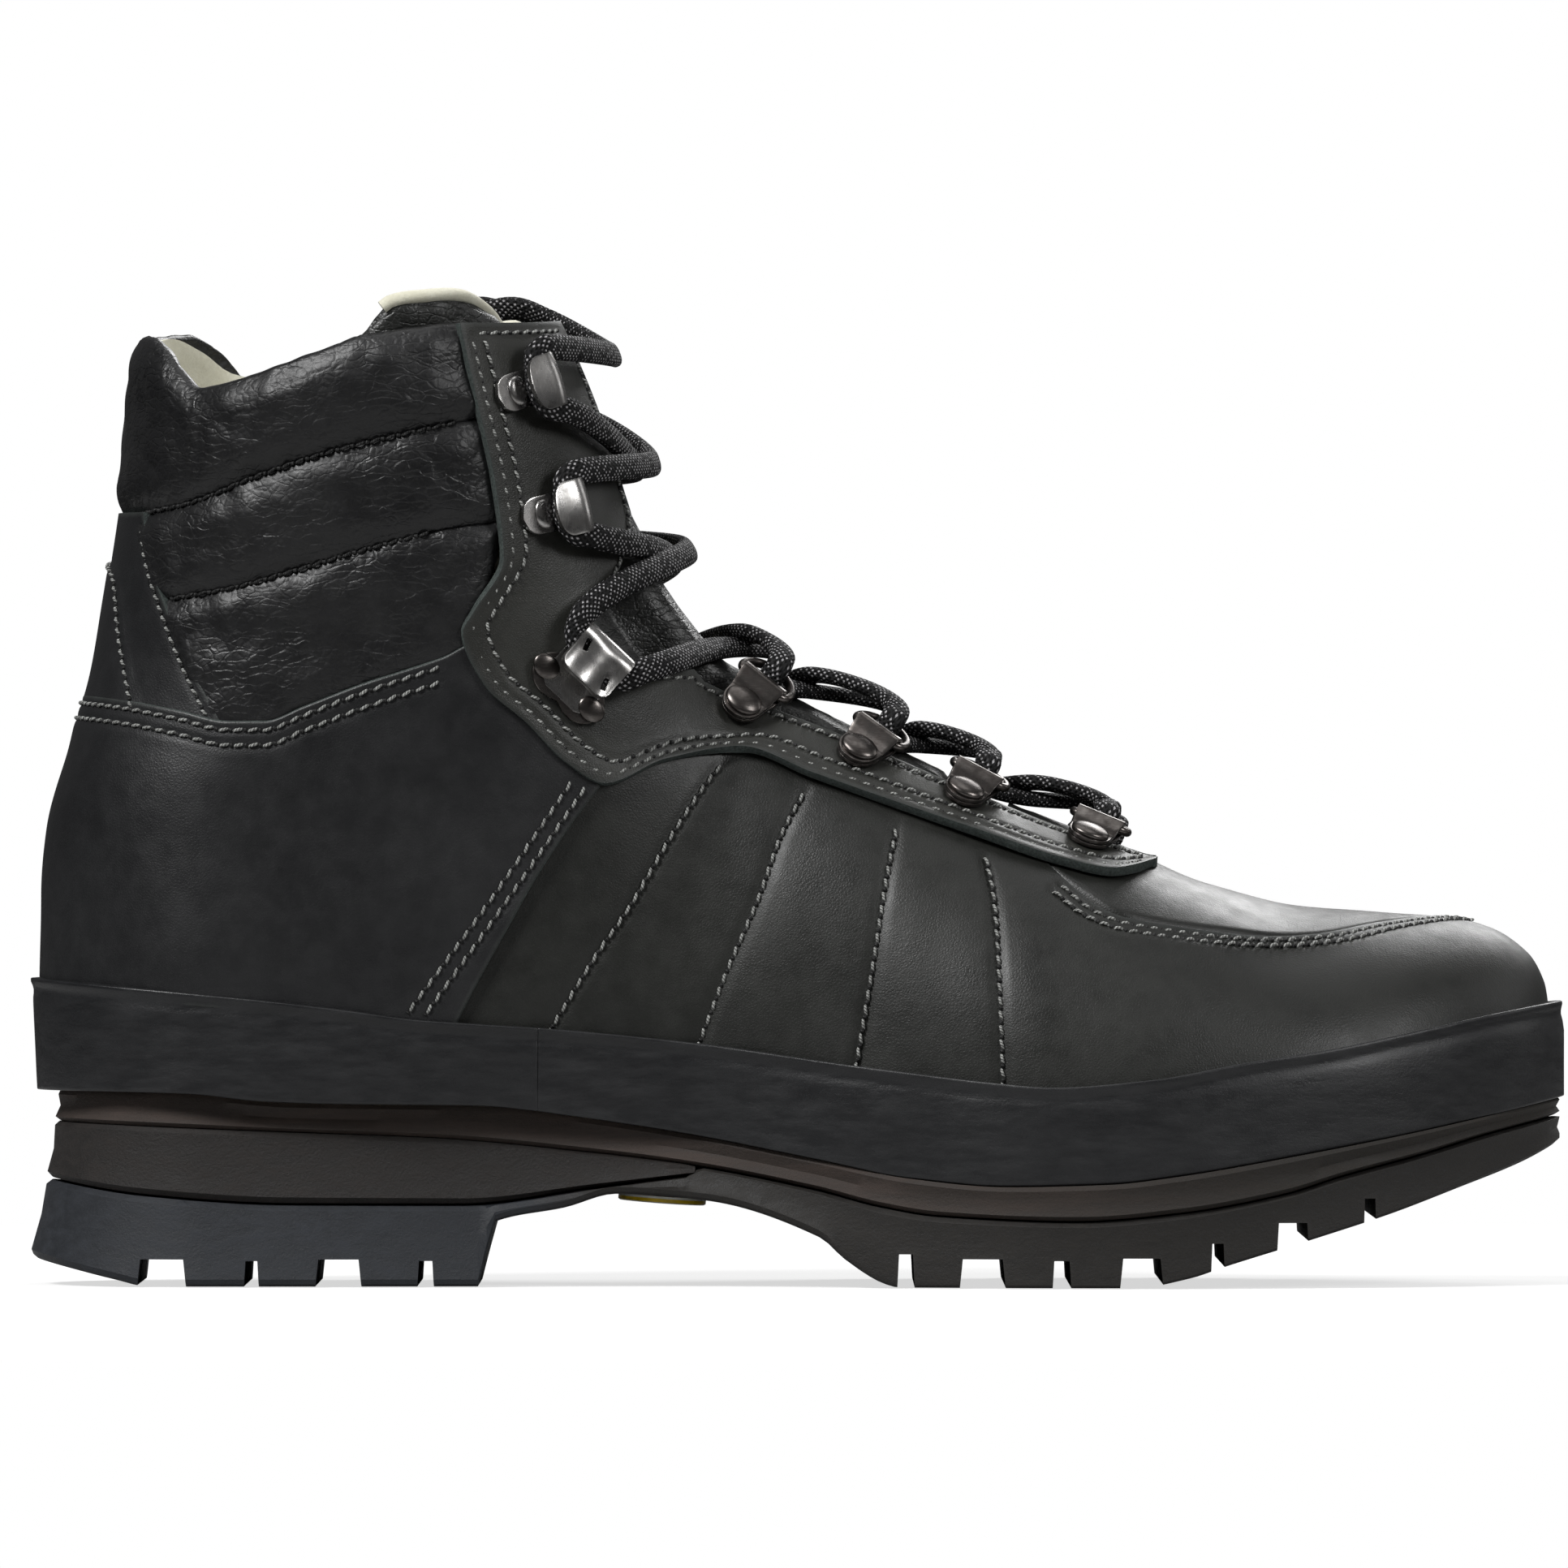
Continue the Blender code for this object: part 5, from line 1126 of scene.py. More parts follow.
def make_lining_quarter():
    """The lining of the shaft and the sides of the foot, open at the front where the tongue lies."""
    back = float(back_line(rand_bottom(-150.0) + 2.5))
    x = 46 - (46 - back) * np.sin(np.linspace(0, math.pi / 2, 220))
    low = resampled(mirrored(on_side(x, rand_bottom(x) + 2.5, -1)), 240)
    outer = outer_edge(LINING_INNER + LINING_COLLAR, 160)
    inner = outer_edge(LINING_INNER + LINING_COLLAR_INNER, 160, 1)[::-1]
    high = resampled(np.concatenate([outer[:-1], inner]), 240)
    skin = filled(low, high, 60)
    outward = normals_at(skin)
    from_top = from_top_edge(skin)
    depth = LINING_DEPTH - 0.75 * np.exp(-((from_top / 12) ** 2)) + 0.12 * ripple(skin, 24, 51)
    sheet = skin - outward * depth[..., None]
    mesh = sheet_mesh("shaft_lining", sheet, outward, border_distance(sheet))
    piece = add_piece("shaft_lining", mesh, [LINING, LINING], ["lining_quarter"])
    thicken(piece, LINING_THICK, 0.3)


def over_toe(start, end, rows, columns):
    """Skin points on arches over the foot, from x = start to the front of the toe."""
    arch = np.linspace(0, math.pi, columns)
    along = start + (end - start) * np.sin(np.linspace(0, math.pi / 2, rows))[:, None]
    half = np.sqrt(np.maximum(width_squared(along, rand_bottom(along) + 6), 0))
    y = centre_line(along) - half * np.cos(arch)
    low = rand_bottom(along) + 3
    z = low + (ridge_line(along) - low) * np.sin(arch)
    return pushed_to_skin(np.stack([np.broadcast_to(along, y.shape), y, z], axis=-1))


def make_lining_toe():
    skin = over_toe(50, 148.5, 30, 60)
    panel("toe_box_lining", skin, 7.0, 1.0, [LINING, LINING], ["lining_toe"],
          wave(skin, 52), 0.2)


TONGUE_TOP_X, TONGUE_END_X, TONGUE_CORE = -51.0, 49.0, 40.0
TONGUE_SUNK, TONGUE_CROWN = 11.4, 1.8
TONGUE_BACK_SUNK, TONGUE_BACK_CROWN = 14.4, 10.4
tongue_rim = through((-88, 185.5), (-84.9, 187.6), (-79.2, 193.6), (-71.2, 195.8), (-61, 197.6),
                     (-55, 195.0), (-52, 191.6), (-48, 189.5))


def ridge_frames(start, end, count):
    """Points along the ridge between two x places, with the ridge's outward direction at each."""
    x = np.linspace(start, end, 400)
    spots = resampled(np.stack([x, centre_line(x), ridge_line(x)], axis=-1), count)
    return spots, normals_at(spots)


def tongue_grid(rows=110, columns=64):
    """Skin points over the tongue, and its outer and inner depth below them."""
    spots, outward = ridge_frames(TONGUE_TOP_X, TONGUE_END_X, rows)
    outward[:, 1] = 0
    outward[0] = outward[1]
    outward = unit(outward)
    share = np.linspace(0, 1, rows)
    spread = np.radians(np.interp(share, [0, 0.2, 0.35, 0.6, 1], [92, 70, 52, 40, 30]))
    angle = spread[:, None] * np.linspace(-1, 1, columns)
    sideways = np.array([0.0, 1.0, 0.0])
    way = outward[:, None] * np.cos(angle)[..., None] + sideways * np.sin(angle)[..., None]
    origins = np.broadcast_to((spots - outward * TONGUE_CORE)[:, None], way.shape)
    points = cast(origins, way)
    top = tongue_rim(points[0, :, 0]) - points[0, :, 2]
    fade = np.clip(1 - share / 0.22, 0, 1)[:, None] ** 1.3
    points[..., 2] += fade * top
    sunk = np.interp(np.degrees(np.abs(angle)), [12, 27], [0, 1])
    sunk = sunk * sunk * (3 - 2 * sunk)
    outer = TONGUE_CROWN + (TONGUE_SUNK - TONGUE_CROWN) * sunk
    outer -= (sunk * fade) * 5.2
    inner = TONGUE_BACK_CROWN + (TONGUE_BACK_SUNK - TONGUE_BACK_CROWN) * sunk - (sunk * fade) * 5.0
    end = np.interp(share, [0.86, 1], [0, 1])[:, None]
    return points, outer + (TONGUE_SUNK - outer) * end, inner + (TONGUE_BACK_SUNK - inner) * end


def make_tongue():
    skin, outer, inner = tongue_grid()
    outward = normals_at(skin)
    thick = np.minimum(inner - outer, 5.5)
    from_top = lengths(skin[:, skin.shape[1] // 2])[:, None]
    roll = np.clip(1 - from_top / 3.2, 0, 1) ** 2
    face = skin - outward * (outer + roll * thick * 0.42)[..., None]
    back = skin - outward * (outer + thick - roll * thick * 0.42)[..., None]
    mesh = shell_mesh("tongue_leather", face, back, outward)
    crease(mesh, 61, TONGUE_CREASE, (1.3, 1.3, 1.3))
    set_edge(mesh, np.full(len(mesh.vertices), UNWORN))
    piece = add_piece("tongue_leather", mesh, [TONGUE], ["tongue"])
    make_tongue_rim(skin, outward, outer, thick)
    lining_skin = skin[6:-2, 4:-4]
    panel("tongue_back_lining", lining_skin, (outer + thick)[6:-2, 4:-4] + 0.15, LINING_THICK,
          [LINING, LINING], ["tongue_lining"], 0.1 * ripple(lining_skin, 20, 63), 0.2)


def swept(spine, across, outward, flat):
    """Points round a spine. flat holds their (across, outward) places, shared by all or for each ring."""
    return spine[:, None] + across[:, None] * flat[..., :1] + outward[:, None] * flat[..., 1:]


def sweep_mesh(name, spine, across, outward, section, closed_line=False):
    """A tube of one section along a spine, with its pattern running along it."""
    count, sides = len(spine), len(section)
    points = swept(spine, across, outward, section[None])
    along = lengths(spine)
    around = np.concatenate([[0], np.cumsum(np.linalg.norm(np.diff(section, axis=0), axis=1))])
    uv = np.stack(np.broadcast_arrays(along[:, None], around[None, :]), axis=-1).reshape(-1, 2)
    faces = tube_faces(count, sides)
    if closed_line:
        last = (count - 1) * sides
        for side in range(sides):
            after = (side + 1) % sides
            faces.append([last + side, last + after, after, side])
    else:
        faces += [list(range(sides - 1, -1, -1)), list(range((count - 1) * sides, count * sides))]
    mesh = mesh_of(name, points.reshape(-1, 3), faces, uv)
    smooth(mesh, 60)
    return mesh


def frames_along(spine, outward):
    """Unit tangents, side directions and outward directions square to a line."""
    tangent = unit(np.gradient(spine, axis=0))
    outward = unit(outward - tangent * np.sum(outward * tangent, axis=1, keepdims=True))
    return tangent, np.cross(tangent, outward), outward


def oval(width, thick, sides, squareness=2.4):
    turn = np.linspace(0, 2 * math.pi, sides + 1)[:-1]
    x = np.sign(np.cos(turn)) * np.abs(np.cos(turn)) ** (2 / squareness) * width / 2
    y = np.sign(np.sin(turn)) * np.abs(np.sin(turn)) ** (2 / squareness) * thick / 2
    return np.stack([x, y], axis=-1)


def make_tongue_rim(skin, outward, outer, thick):
    """The pale rolled edge along the tongue's top."""
    spine = skin[0] - outward[0] * (outer + thick * 0.62)[0][:, None]
    spine[:, 2] += 0.3
    spine = spine[3:-3]
    up = np.broadcast_to([0.0, 0.0, 1.0], spine.shape)
    _, across, up = frames_along(spine, up)
    mesh = sweep_mesh("tongue_rim", spine, across, up, oval(3.6, 2.8, 14))
    set_edge(mesh, np.full(len(mesh.vertices), UNWORN))
    add_piece("tongue_rim", mesh, [LINING])
    row = skin[5, 4:-4]
    stitched("tongue_stitching", [resampled(row, 300)], float(np.mean(outer[5, 4:-4])), THREAD, pitch=2.6)


# ---------------------------------------------------------------- rands


def toe_wrap(low, high, start, rows, columns):
    """Skin points round the toe between two height lines, from x = start on both sides."""
    across = np.sin(np.linspace(0, math.pi / 2, 300))
    t = np.linspace(0, 1, rows)[:, None]
    x = start + (TOE_X - start) * across
    height = low(x) * (1 - t) + high(x) * t
    front = np.interp(height, [50, 60, 66.9, 72.2], [TOE_X, 150, 146, 138])
    x = start + (front - start) * across
    outer = on_side(x, height, -1)
    inner = on_side(x, height, 1)[:, ::-1]
    return evened(np.concatenate([outer[:, :-1], inner], axis=1), columns)


def rand_relief(skin, seed):
    """A rand's rolled lip along its top and the slight unevenness of rubber laid by hand."""
    from_top = from_top_edge(skin)
    lip = 0.4 * np.exp(-((from_top / 1.3) ** 4)) - 0.18 * np.exp(-(((from_top - 2.6) / 0.9) ** 2))
    return lip + 0.12 * ripple(skin, 30, seed)


def make_rands():
    along = np.array([-51.0, -62, -75, -90, -105, -120, -135, back_line(38.5)])
    bottom = list(zip(along, rand_bottom(along) + GAP))
    along[-1] = back_line(60.5)
    top = list(zip(along, rand_top(along)))
    skin = heel_wrap(bottom, top, 30, 230)
    panel("heel_rand_band", skin, RAND_DEPTH - 0.2, RAND_THICK, [RAND_RUBBER, RAND_RUBBER], ["rand_heel"],
          rand_relief(skin, 71), 0.7)
    skin = toe_wrap(lambda x: rand_bottom(x) + GAP, rand_top, -51.2, 30, 400)
    panel("toe_rand_band", skin, RAND_DEPTH + 0.1, RAND_THICK, [RAND_RUBBER, RAND_RUBBER], ["rand_toe"],
          rand_relief(skin, 72), 0.7)


# ---------------------------------------------------------------- sole

OUTLINE_COUNT = 420


def sole_outline():
    """The sole's edge seen from above: the outer side from heel to toe, then the inner side back."""
    turn = np.linspace(0, math.pi, 1200)
    middle, reach = (TOE_X + HEEL_X) / 2, (TOE_X - HEEL_X) / 2
    x = middle - reach * np.cos(turn)
    width, heel, toe = plan_width(x)
    half = width * np.sqrt(np.maximum(signed_product(heel, toe), 0))
    outer = resampled(np.stack([x, -half, np.zeros_like(x)], axis=-1), OUTLINE_COUNT // 2 + 1)
    return outer[:, :2]


def inset_outline(inset):
    """The outer half of the outline drawn in by an amount that depends on x, kept on its own side."""
    edge = sole_outline()
    tangent = unit(np.gradient(edge, axis=0))
    inward = np.stack([-tangent[:, 1], tangent[:, 0]], axis=-1)
    inward[[0, -1], 1] = 0
    moved = edge + inward * inset(edge[:, 0])[:, None]
    moved[:, 1] = np.minimum(moved[:, 1], 0)
    moved[[0, -1], 1] = 0
    return moved


def ring_of(made, spots):
    return [made.verts.new(Vector(spot) * MM) for spot in spots]


def join_rings(made, rings):
    """Quads between each ring of vertices and the next, as one list for each gap."""
    size = len(rings[0])
    bands = []
    for low, high in zip(rings, rings[1:]):
        pairs = [(index, (index + 1) % size) for index in range(size)]
        bands.append([made.faces.new((low[a], low[b], high[b], high[a])) for a, b in pairs])
    return bands


def cap_rings(made, rings):
    made.faces.new(rings[0][::-1])
    made.faces.new(rings[-1])


def outward_mesh(name, made, angle):
    """A mesh from a closed bmesh, its faces turned outwards and its sharp edges kept."""
    bmesh.ops.recalc_face_normals(made, faces=made.faces)
    mesh = made_into(name, made)
    smooth(mesh, angle)
    return mesh


def layer_mesh(name, levels, window=None):
    """A layer of the sole. levels hold (height line, inset line) from the bottom face to the top face."""
    loops = []
    for height, inset in levels:
        edge = inset_outline(inset)
        if window:
            edge = edge[(edge[:, 0] > window[0]) & (edge[:, 0] < window[1])]
        x = edge[:, 0]
        outer = np.stack([x, centre_line(x) + edge[:, 1], height(x)], axis=-1)
        inner = np.stack([x, centre_line(x) - edge[:, 1], height(x)], axis=-1)
        loops.append((outer, inner))
    if window:
        count = min(len(outer) for outer, _ in loops)
        loops = [(resampled(outer, count), resampled(inner, count)) for outer, inner in loops]
    made = bmesh.new()
    rings = [ring_of(made, (*outer, *inner[::-1])) for outer, inner in loops]
    join_rings(made, rings)
    size = len(rings[0])
    for ring in (rings[0], rings[-1]):
        for index in range(size // 2 - 1):
            other = size - 1 - index
            made.faces.new((ring[index], ring[index + 1], ring[other - 1], ring[other]))
    bmesh.ops.remove_doubles(made, verts=made.verts, dist=1e-6)
    return outward_mesh(name, made, 35)


def heel_inset(rise):
    """How far the sole's side is drawn in at a height above its foot, fading from heel to toe."""
    return through((-155, rise), (-40, rise * 0.75), (60, 0.9), (155, 0.2))


def constant(value):
    return lambda x: np.full_like(x, value)


def between(low, high, share, lift=0.0):
    return lambda x: low(x) * (1 - share) + high(x) * share + lift


def lifted(line, rise):
    return lambda x: line(x) + rise


LUG_GAPS = [(-129.3, -120.8, 5.3), (-108.5, -106.2, 5.0), (-94.2, -86.3, 5.3), (-74.4, -71.8, 5.0),
            (20.0, 22.7, 6.5), (32.5, 40.3, 5.6), (50.4, 53.4, 5.3), (63.9, 71.2, 5.8), (81.4, 83.6, 8.7),
            (94.5, 100.1, 12.7), (111.5, 113.6, 17.4)]
GROOVES = [(-131, -60, 5.0), (14, 92, 4.6)]
GROOVE_Y, GROOVE_WIDTH = 15.5, 4.0
WEDGE_END = -20.0


def outsole_top(x):
    """The outsole's upper face, under the heel wedge and then under the midsole."""
    blend = np.clip((x - WEDGE_END + 0.8) / 1.2, 0, 1)
    return (wedge_bottom(x) - 0.5) * (1 - blend) + (midsole_bottom(x) - 0.4) * blend


def wedge_block(made, start, end, top, spread, y=0.0, width=130.0):
    """A cutter that is wider at the ground than at its top, by spread at each end."""
    corners = [(start - spread, -3), (end + spread, -3), (end, top), (start, top)]
    sides = [ring_of(made, [(x, y + side * width / 2, z) for x, z in corners]) for side in (-1, 1)]
    made.faces.new(sides[0])
    made.faces.new(sides[1][::-1])
    for index in range(4):
        after = (index + 1) % 4
        made.faces.new((sides[0][after], sides[0][index], sides[1][index], sides[1][after]))


def add_cut(piece, name, cutter):
    modifier = piece.modifiers.new(name, "BOOLEAN")
    modifier.operation = "DIFFERENCE"
    modifier.solver = "EXACT"
    modifier.object = cutter
    return modifier


def evaluated_mesh(piece):
    """A new mesh of the piece with its modifiers applied."""
    graph = bpy.context.evaluated_depsgraph_get()
    return bpy.data.meshes.new_from_object(piece.evaluated_get(graph), depsgraph=graph)


def cut(piece, name, blocks):
    """Cuts a set of blocks out of a piece, and applies the cut."""
    made = bmesh.new()
    for block in blocks:
        wedge_block(made, *block)
    bmesh.ops.recalc_face_normals(made, faces=made.faces)
    cutter = linked(name, made_into(name, made))
    modifier = add_cut(piece, name, cutter)
    result = evaluated_mesh(piece)
    piece.modifiers.remove(modifier)
    old = piece.data
    piece.data = result
    result.name = old.name
    bpy.data.objects.remove(cutter)


def make_outsole():
    bottom, top = heel_inset(0.2), heel_inset(3.2)
    levels = [(ground, constant(1.4)), (lifted(ground, 0.5), heel_inset(0.6)),
              (lifted(ground, 1.4), bottom),
              (between(ground, outsole_top, 0.55), between(bottom, top, 0.5, 0.5)),
              (between(ground, outsole_top, 0.93), top), (outsole_top, lifted(top, 1.2))]
    mesh = layer_mesh("outsole_rubber", levels)
    piece = add_piece("outsole_rubber", mesh, [HEEL_RUBBER], ["outsole"])
    cut(piece, "lug_cuts", [(*gap, 0.9 if gap[1] - gap[0] > 4 else 0.5) for gap in LUG_GAPS])
    cut(piece, "groove_cuts", [(*groove, 0.3, side * GROOVE_Y, GROOVE_WIDTH) for groove in GROOVES
                               for side in (-1, 1)])
    smooth(piece.data, 30)
    add_rounding(piece, 0.35, 45)


def make_sole_layers():
    low, high = wedge_bottom, midsole_bottom
    out, back = heel_inset(3.4), heel_inset(4.9)
    levels = [(low, lifted(out, 1.0)), (between(low, high, 0.08), out),
              (between(low, high, 0.5), between(out, back, 0.5, 0.5)),
              (between(low, high, 0.93, -0.2), back), (between(low, high, 1.0, -0.15), lifted(back, 0.9))]
    mesh = layer_mesh("heel_wedge_block", levels, window=(-200, WEDGE_END))
    add_piece("heel_wedge_block", mesh, [WEDGE], ["heel_wedge"])
    low, high = midsole_bottom, rand_bottom
    out, back = heel_inset(5.0), heel_inset(5.6)
    levels = [(low, lifted(out, 1.0)), (between(low, high, 0.12), out),
              (between(low, high, 0.5), between(out, back, 0.5, 0.7)),
              (between(low, high, 0.88), back), (between(low, high, 1.0, 0.15), lifted(back, 0.4))]
    add_piece("midsole_band", layer_mesh("midsole_band", levels), [STRIPE], ["midsole"])
    low, high = lifted(rand_bottom, 3.1), lifted(rand_bottom, 7.0)
    levels = [(low, constant(15.0)), (between(low, high, 0.7), constant(14.0)), (high, constant(15.2))]
    add_piece("footbed_pad", layer_mesh("footbed_pad", levels), [FOOTBED], ["footbed"])


INLAY_X, INLAY_LENGTH, INLAY_WIDTH, INLAY_CORNERS = -26.7, 17.4, 27.0, 48
INLAY_RINGS = [(1.0, -0.3), (1.0, -0.75), (1.0, -1.45), (0.96, -1.66), (0.84, -1.7), (0.80, -1.5),
               (0.78, -1.45)]


def make_arch_inlay():
    """A plain yellow oval with a pale rim, let into the underside of the arch."""
    slope = math.atan2(float(ground(-18.0) - ground(-35.7)), 17.7)
    height = float(ground(-18.0) + ground(-35.7)) / 2
    made = bmesh.new()
    rings = []
    turn = np.linspace(0, 2 * math.pi, INLAY_CORNERS + 1)[:-1]
    for share, z in INLAY_RINGS:
        long, wide = share * INLAY_LENGTH / 2, share * INLAY_WIDTH / 2
        rings.append(ring_of(made, [(long * math.cos(a), wide * math.sin(a), z) for a in turn]))
    for number, band in enumerate(join_rings(made, rings)):
        for face in band:
            face.material_index = 0 if number == 1 else 1
    cap_rings(made, rings)
    bmesh.ops.recalc_face_normals(made, faces=made.faces)
    bmesh.ops.rotate(made, cent=(0, 0, 0), matrix=Matrix.Rotation(-slope, 3, "Y"), verts=made.verts)
    bmesh.ops.translate(made, vec=Vector((INLAY_X, 0, height)) * MM, verts=made.verts)
    mesh = made_into("arch_badge", made)
    smooth(mesh, 30)
    add_piece("arch_badge", mesh, [INLAY, INLAY_RIM], ["arch_inlay"])


def dress_hidden_nodes():
    """The CAD's own solids that stay: the stiff layers inside the leather."""
    looks = {"insole_board": BOARD, "heel_counter": BOARD, "toe_puff": BOARD, "shank": STEEL}
    for node, look in looks.items():
        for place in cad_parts[node].material_slots:
            place.material = look


# ---------------------------------------------------------------- hardware


def seat(x, z, side, toward, lift=0.0):
    """A frame over the skin: z axis outwards, y axis along the side-view direction `toward`."""
    place = on_side(x, z, side)
    outward = Vector(normals_at(place))
    way = Vector((toward[0], 0, toward[1]))
    way = (way - way.dot(outward) * outward).normalized()
    across = way.cross(outward)
    turn = Matrix((across, way, outward)).transposed().to_4x4()
    return Matrix.Translation((Vector(place) + outward * lift) * MM) @ turn


D_SEATS = {1: (-11.3, 113.6, (0.62, 0.78), 0.9), 2: (11.8, 104.7, (0.58, 0.81), 0.0),
           3: (32.7, 96.4, (0.47, 0.88), 0.0), 4: (57.3, 87.6, (0.38, 0.92), 0.0)}
HOOK_SEATS = {"top": (-56.0, 175.9, (0.95, 0.30)), "low": (-50.6, 151.8, (0.97, 0.23))}
LOCK_SEAT = (-45.0, 118.0, (0.69, 0.72))
BAR_Y = STRAP_LENGTH - 3.2
BAR_Z = STAND_OFF + LOOP_RADIUS
TURNED_STEPS = 40
RIVET_COLLAR, RIVET_STRETCH = 0.35, (1.16, 0.94, 1)
PLATE_CORNERS = 120


def placed(name, mesh, seat_frame, looks, nodes=(), body=BOOT):
    """Puts a copy of a hardware mesh at its seat."""
    copy = mesh.copy()
    copy.name = name
    copy.transform(seat_frame)
    add_piece(name, copy, looks, nodes, body)


def strip_grid(line, half_width, columns=13):
    """A strip's points: rows along a (y, z) line, columns across it, half_width wide on either side."""
    across = np.linspace(-1, 1, columns)
    points = np.empty((len(line), columns, 3))
    points[..., 0] = half_width[:, None] * across
    points[..., 1:] = line[:, None]
    return points


def solid_strip(name, points, sheet, rounding, cutters=()):
    """A mesh of sheet metal: the strip's points thickened both ways, cut and with rounded edges."""
    guide = linked(name, mesh_of(name, points.reshape(-1, 3), grid_faces(*points.shape[:2])))
    solidify = guide.modifiers.new("sheet", "SOLIDIFY")
    solidify.thickness = sheet * MM
    solidify.offset = 0
    helpers = []
    for number, cutter_mesh in enumerate(cutters):
        helper = linked(f"{name}_cut_{number}", cutter_mesh)
        helpers.append(helper)
        add_cut(guide, f"slot_{number}", helper)
    add_rounding(guide, rounding, 50, segments=3)
    made = evaluated_mesh(guide)
    for helper in (guide, *helpers):
        bpy.data.objects.remove(helper)
    smooth(made, 50)
    return made


def turned_mesh(name, outline, stretch):
    """A solid turned round its z axis from an outline of (radius, z) points that ends on the axis."""
    made = bmesh.new()
    verts = [made.verts.new((radius * MM, 0, z * MM)) for radius, z in outline]
    edges = [made.edges.new(pair) for pair in zip(verts, verts[1:])]
    bmesh.ops.spin(made, geom=verts + edges, cent=(0, 0, 0), axis=(0, 0, 1), angle=2 * math.pi,
                   steps=TURNED_STEPS, use_merge=True)
    bmesh.ops.remove_doubles(made, verts=made.verts, dist=1e-6)
    bmesh.ops.scale(made, vec=stretch, verts=made.verts)
    return outward_mesh(name, made, 35)


def rivet_mesh(radius, height):
    """A low domed head on a thin collar, a little longer than it is wide."""
    dome = height - RIVET_COLLAR
    turn = np.radians(range(0, 90, 9))
    arc = [(radius * math.cos(a), RIVET_COLLAR + dome * math.sin(a)) for a in turn]
    foot = [(0, 0), (radius - 0.25, 0), (radius, 0.12)]
    return turned_mesh("rivet", foot + arc + [(0, height)], RIVET_STRETCH)


def clip_mesh():
    """The clip's strap: out along the leather, round the ring's bar, and back on top of itself."""
    low, high = STAND_OFF + 0.42, STAND_OFF + 1.36
    bend = 1.5
    turn = np.radians(np.linspace(-90, 90, 15))
    round_bar = np.stack([BAR_Y + bend * np.cos(turn), BAR_Z + bend * np.sin(turn)], axis=-1)
    out = through((-4.1, low), (2.6, low), (BAR_Y, BAR_Z - bend))
    back = through((-4.1, high), (1.9, high), (3.6, BAR_Z + 0.35), (BAR_Y, BAR_Z + bend))
    y = np.linspace(-4.1, BAR_Y, 30)[:-1]
    under = np.stack([y, out(y)], axis=-1)
    over = np.stack([y, back(y)], axis=-1)[::-1]
    line = np.concatenate([under, round_bar, over])
    end = np.sqrt(np.clip(1 - np.clip((-0.1 - line[:, 0]) / 4.1, 0, 1) ** 2, 0.02, 1))
    half = through((-4.2, 4.1), (1.0, 4.3), (BAR_Y, 4.95), (9, 5.0))(line[:, 0]) * end
    return solid_strip("clip", strip_grid(line, half), STRAP_SHEET, 0.2)


def ring_mesh():
    """A D of round wire on its bar along x, its bow leaning by RING_TILT, which is down if negative."""
    half = RING_WIDTH / 2 - RING_WIRE_RADIUS
    corner = 1.6
    turn = np.radians(np.linspace(0, 180, 90))
    bow = np.stack([half * np.cos(turn), corner + (RING_REACH - corner) * np.sin(turn)], axis=-1)
    quarter = np.radians(np.linspace(0, 90, 8))[1:]
    right = np.stack([half - corner * (1 - np.cos(quarter)), corner * (1 - np.sin(quarter))], axis=-1)
    bar = np.stack([np.linspace(half - corner, corner - half, 12), np.zeros(12)], axis=-1)[1:-1]
    left = right[::-1] * [-1, 1]
    outline = np.concatenate([right[::-1], bow[1:-1], left[::-1], bar[::-1]])
    tilt = math.radians(RING_TILT)
    x, reach = outline.T
    spine = np.stack([x, reach * math.cos(tilt), reach * math.sin(tilt)], axis=-1)
    normal = np.broadcast_to([0.0, -math.sin(tilt), math.cos(tilt)], spine.shape)
    before, after = np.roll(spine, 1, axis=0), np.roll(spine, -1, axis=0)
    tangent = unit(after - before)
    wire = 2 * RING_WIRE_RADIUS
    section = oval(wire, wire, 16, 2.0)
    mesh = sweep_mesh("ring", spine, np.cross(tangent, normal), normal, section, closed_line=True)
    mesh.transform(Matrix.Translation(Vector((0, BAR_Y, BAR_Z)) * MM))
    return mesh


def hook_line(start, length, tip, lift):
    """A hook's line: flat on the leather, round at the front, and back over to its turned-up tip."""
    low = STAND_OFF + HOOK_SHEET / 2
    radius = (HOOK_GAP + HOOK_SHEET) / 2
    turn = np.radians(np.linspace(0, 180, 22))
    bend = np.stack([length + radius * np.sin(turn), low + radius * (1 - np.cos(turn))], axis=-1)
    flat = np.stack([np.linspace(start, length, 14)[:-1], np.full(13, low)], axis=-1)
    share = np.linspace(0, 1, 14)[1:]
    over = np.stack([length - tip * share, low + 2 * radius + lift * share**2], axis=-1)
    return np.concatenate([flat, bend, over]), len(flat) + len(bend)


def ends_rounded(line, width, radius):
    """A strip's half widths, its two ends drawn in to rounded corners."""
    along = lengths(line)
    near = np.minimum(along, along[-1] - along)
    inset = radius - np.sqrt(np.clip(radius**2 - np.clip(radius - near, 0, radius) ** 2, 0, None))
    return width / 2 - inset


def hook_mesh():
    """A speed hook: a rounded tab that widens into its bend, with a slightly dished tip."""
    line, _ = hook_line(-4.6, HOOK_LENGTH, 5.6, 0.2)
    share = np.clip((np.arange(len(line)) - 12) / 12, 0, 1)
    width = ends_rounded(line, 7.4, 3.4) * (1 + 0.42 * share * share * (3 - 2 * share))
    points = strip_grid(line, width, 25)
    sag = 0.7 * share[:, None] * (points[..., 0] / 5.2) ** 2
    points[..., 2] -= sag * np.clip((np.arange(len(line)) - 20) / 8, 0, 1)[:, None]
    return solid_strip("hook", points, HOOK_SHEET, 0.45)


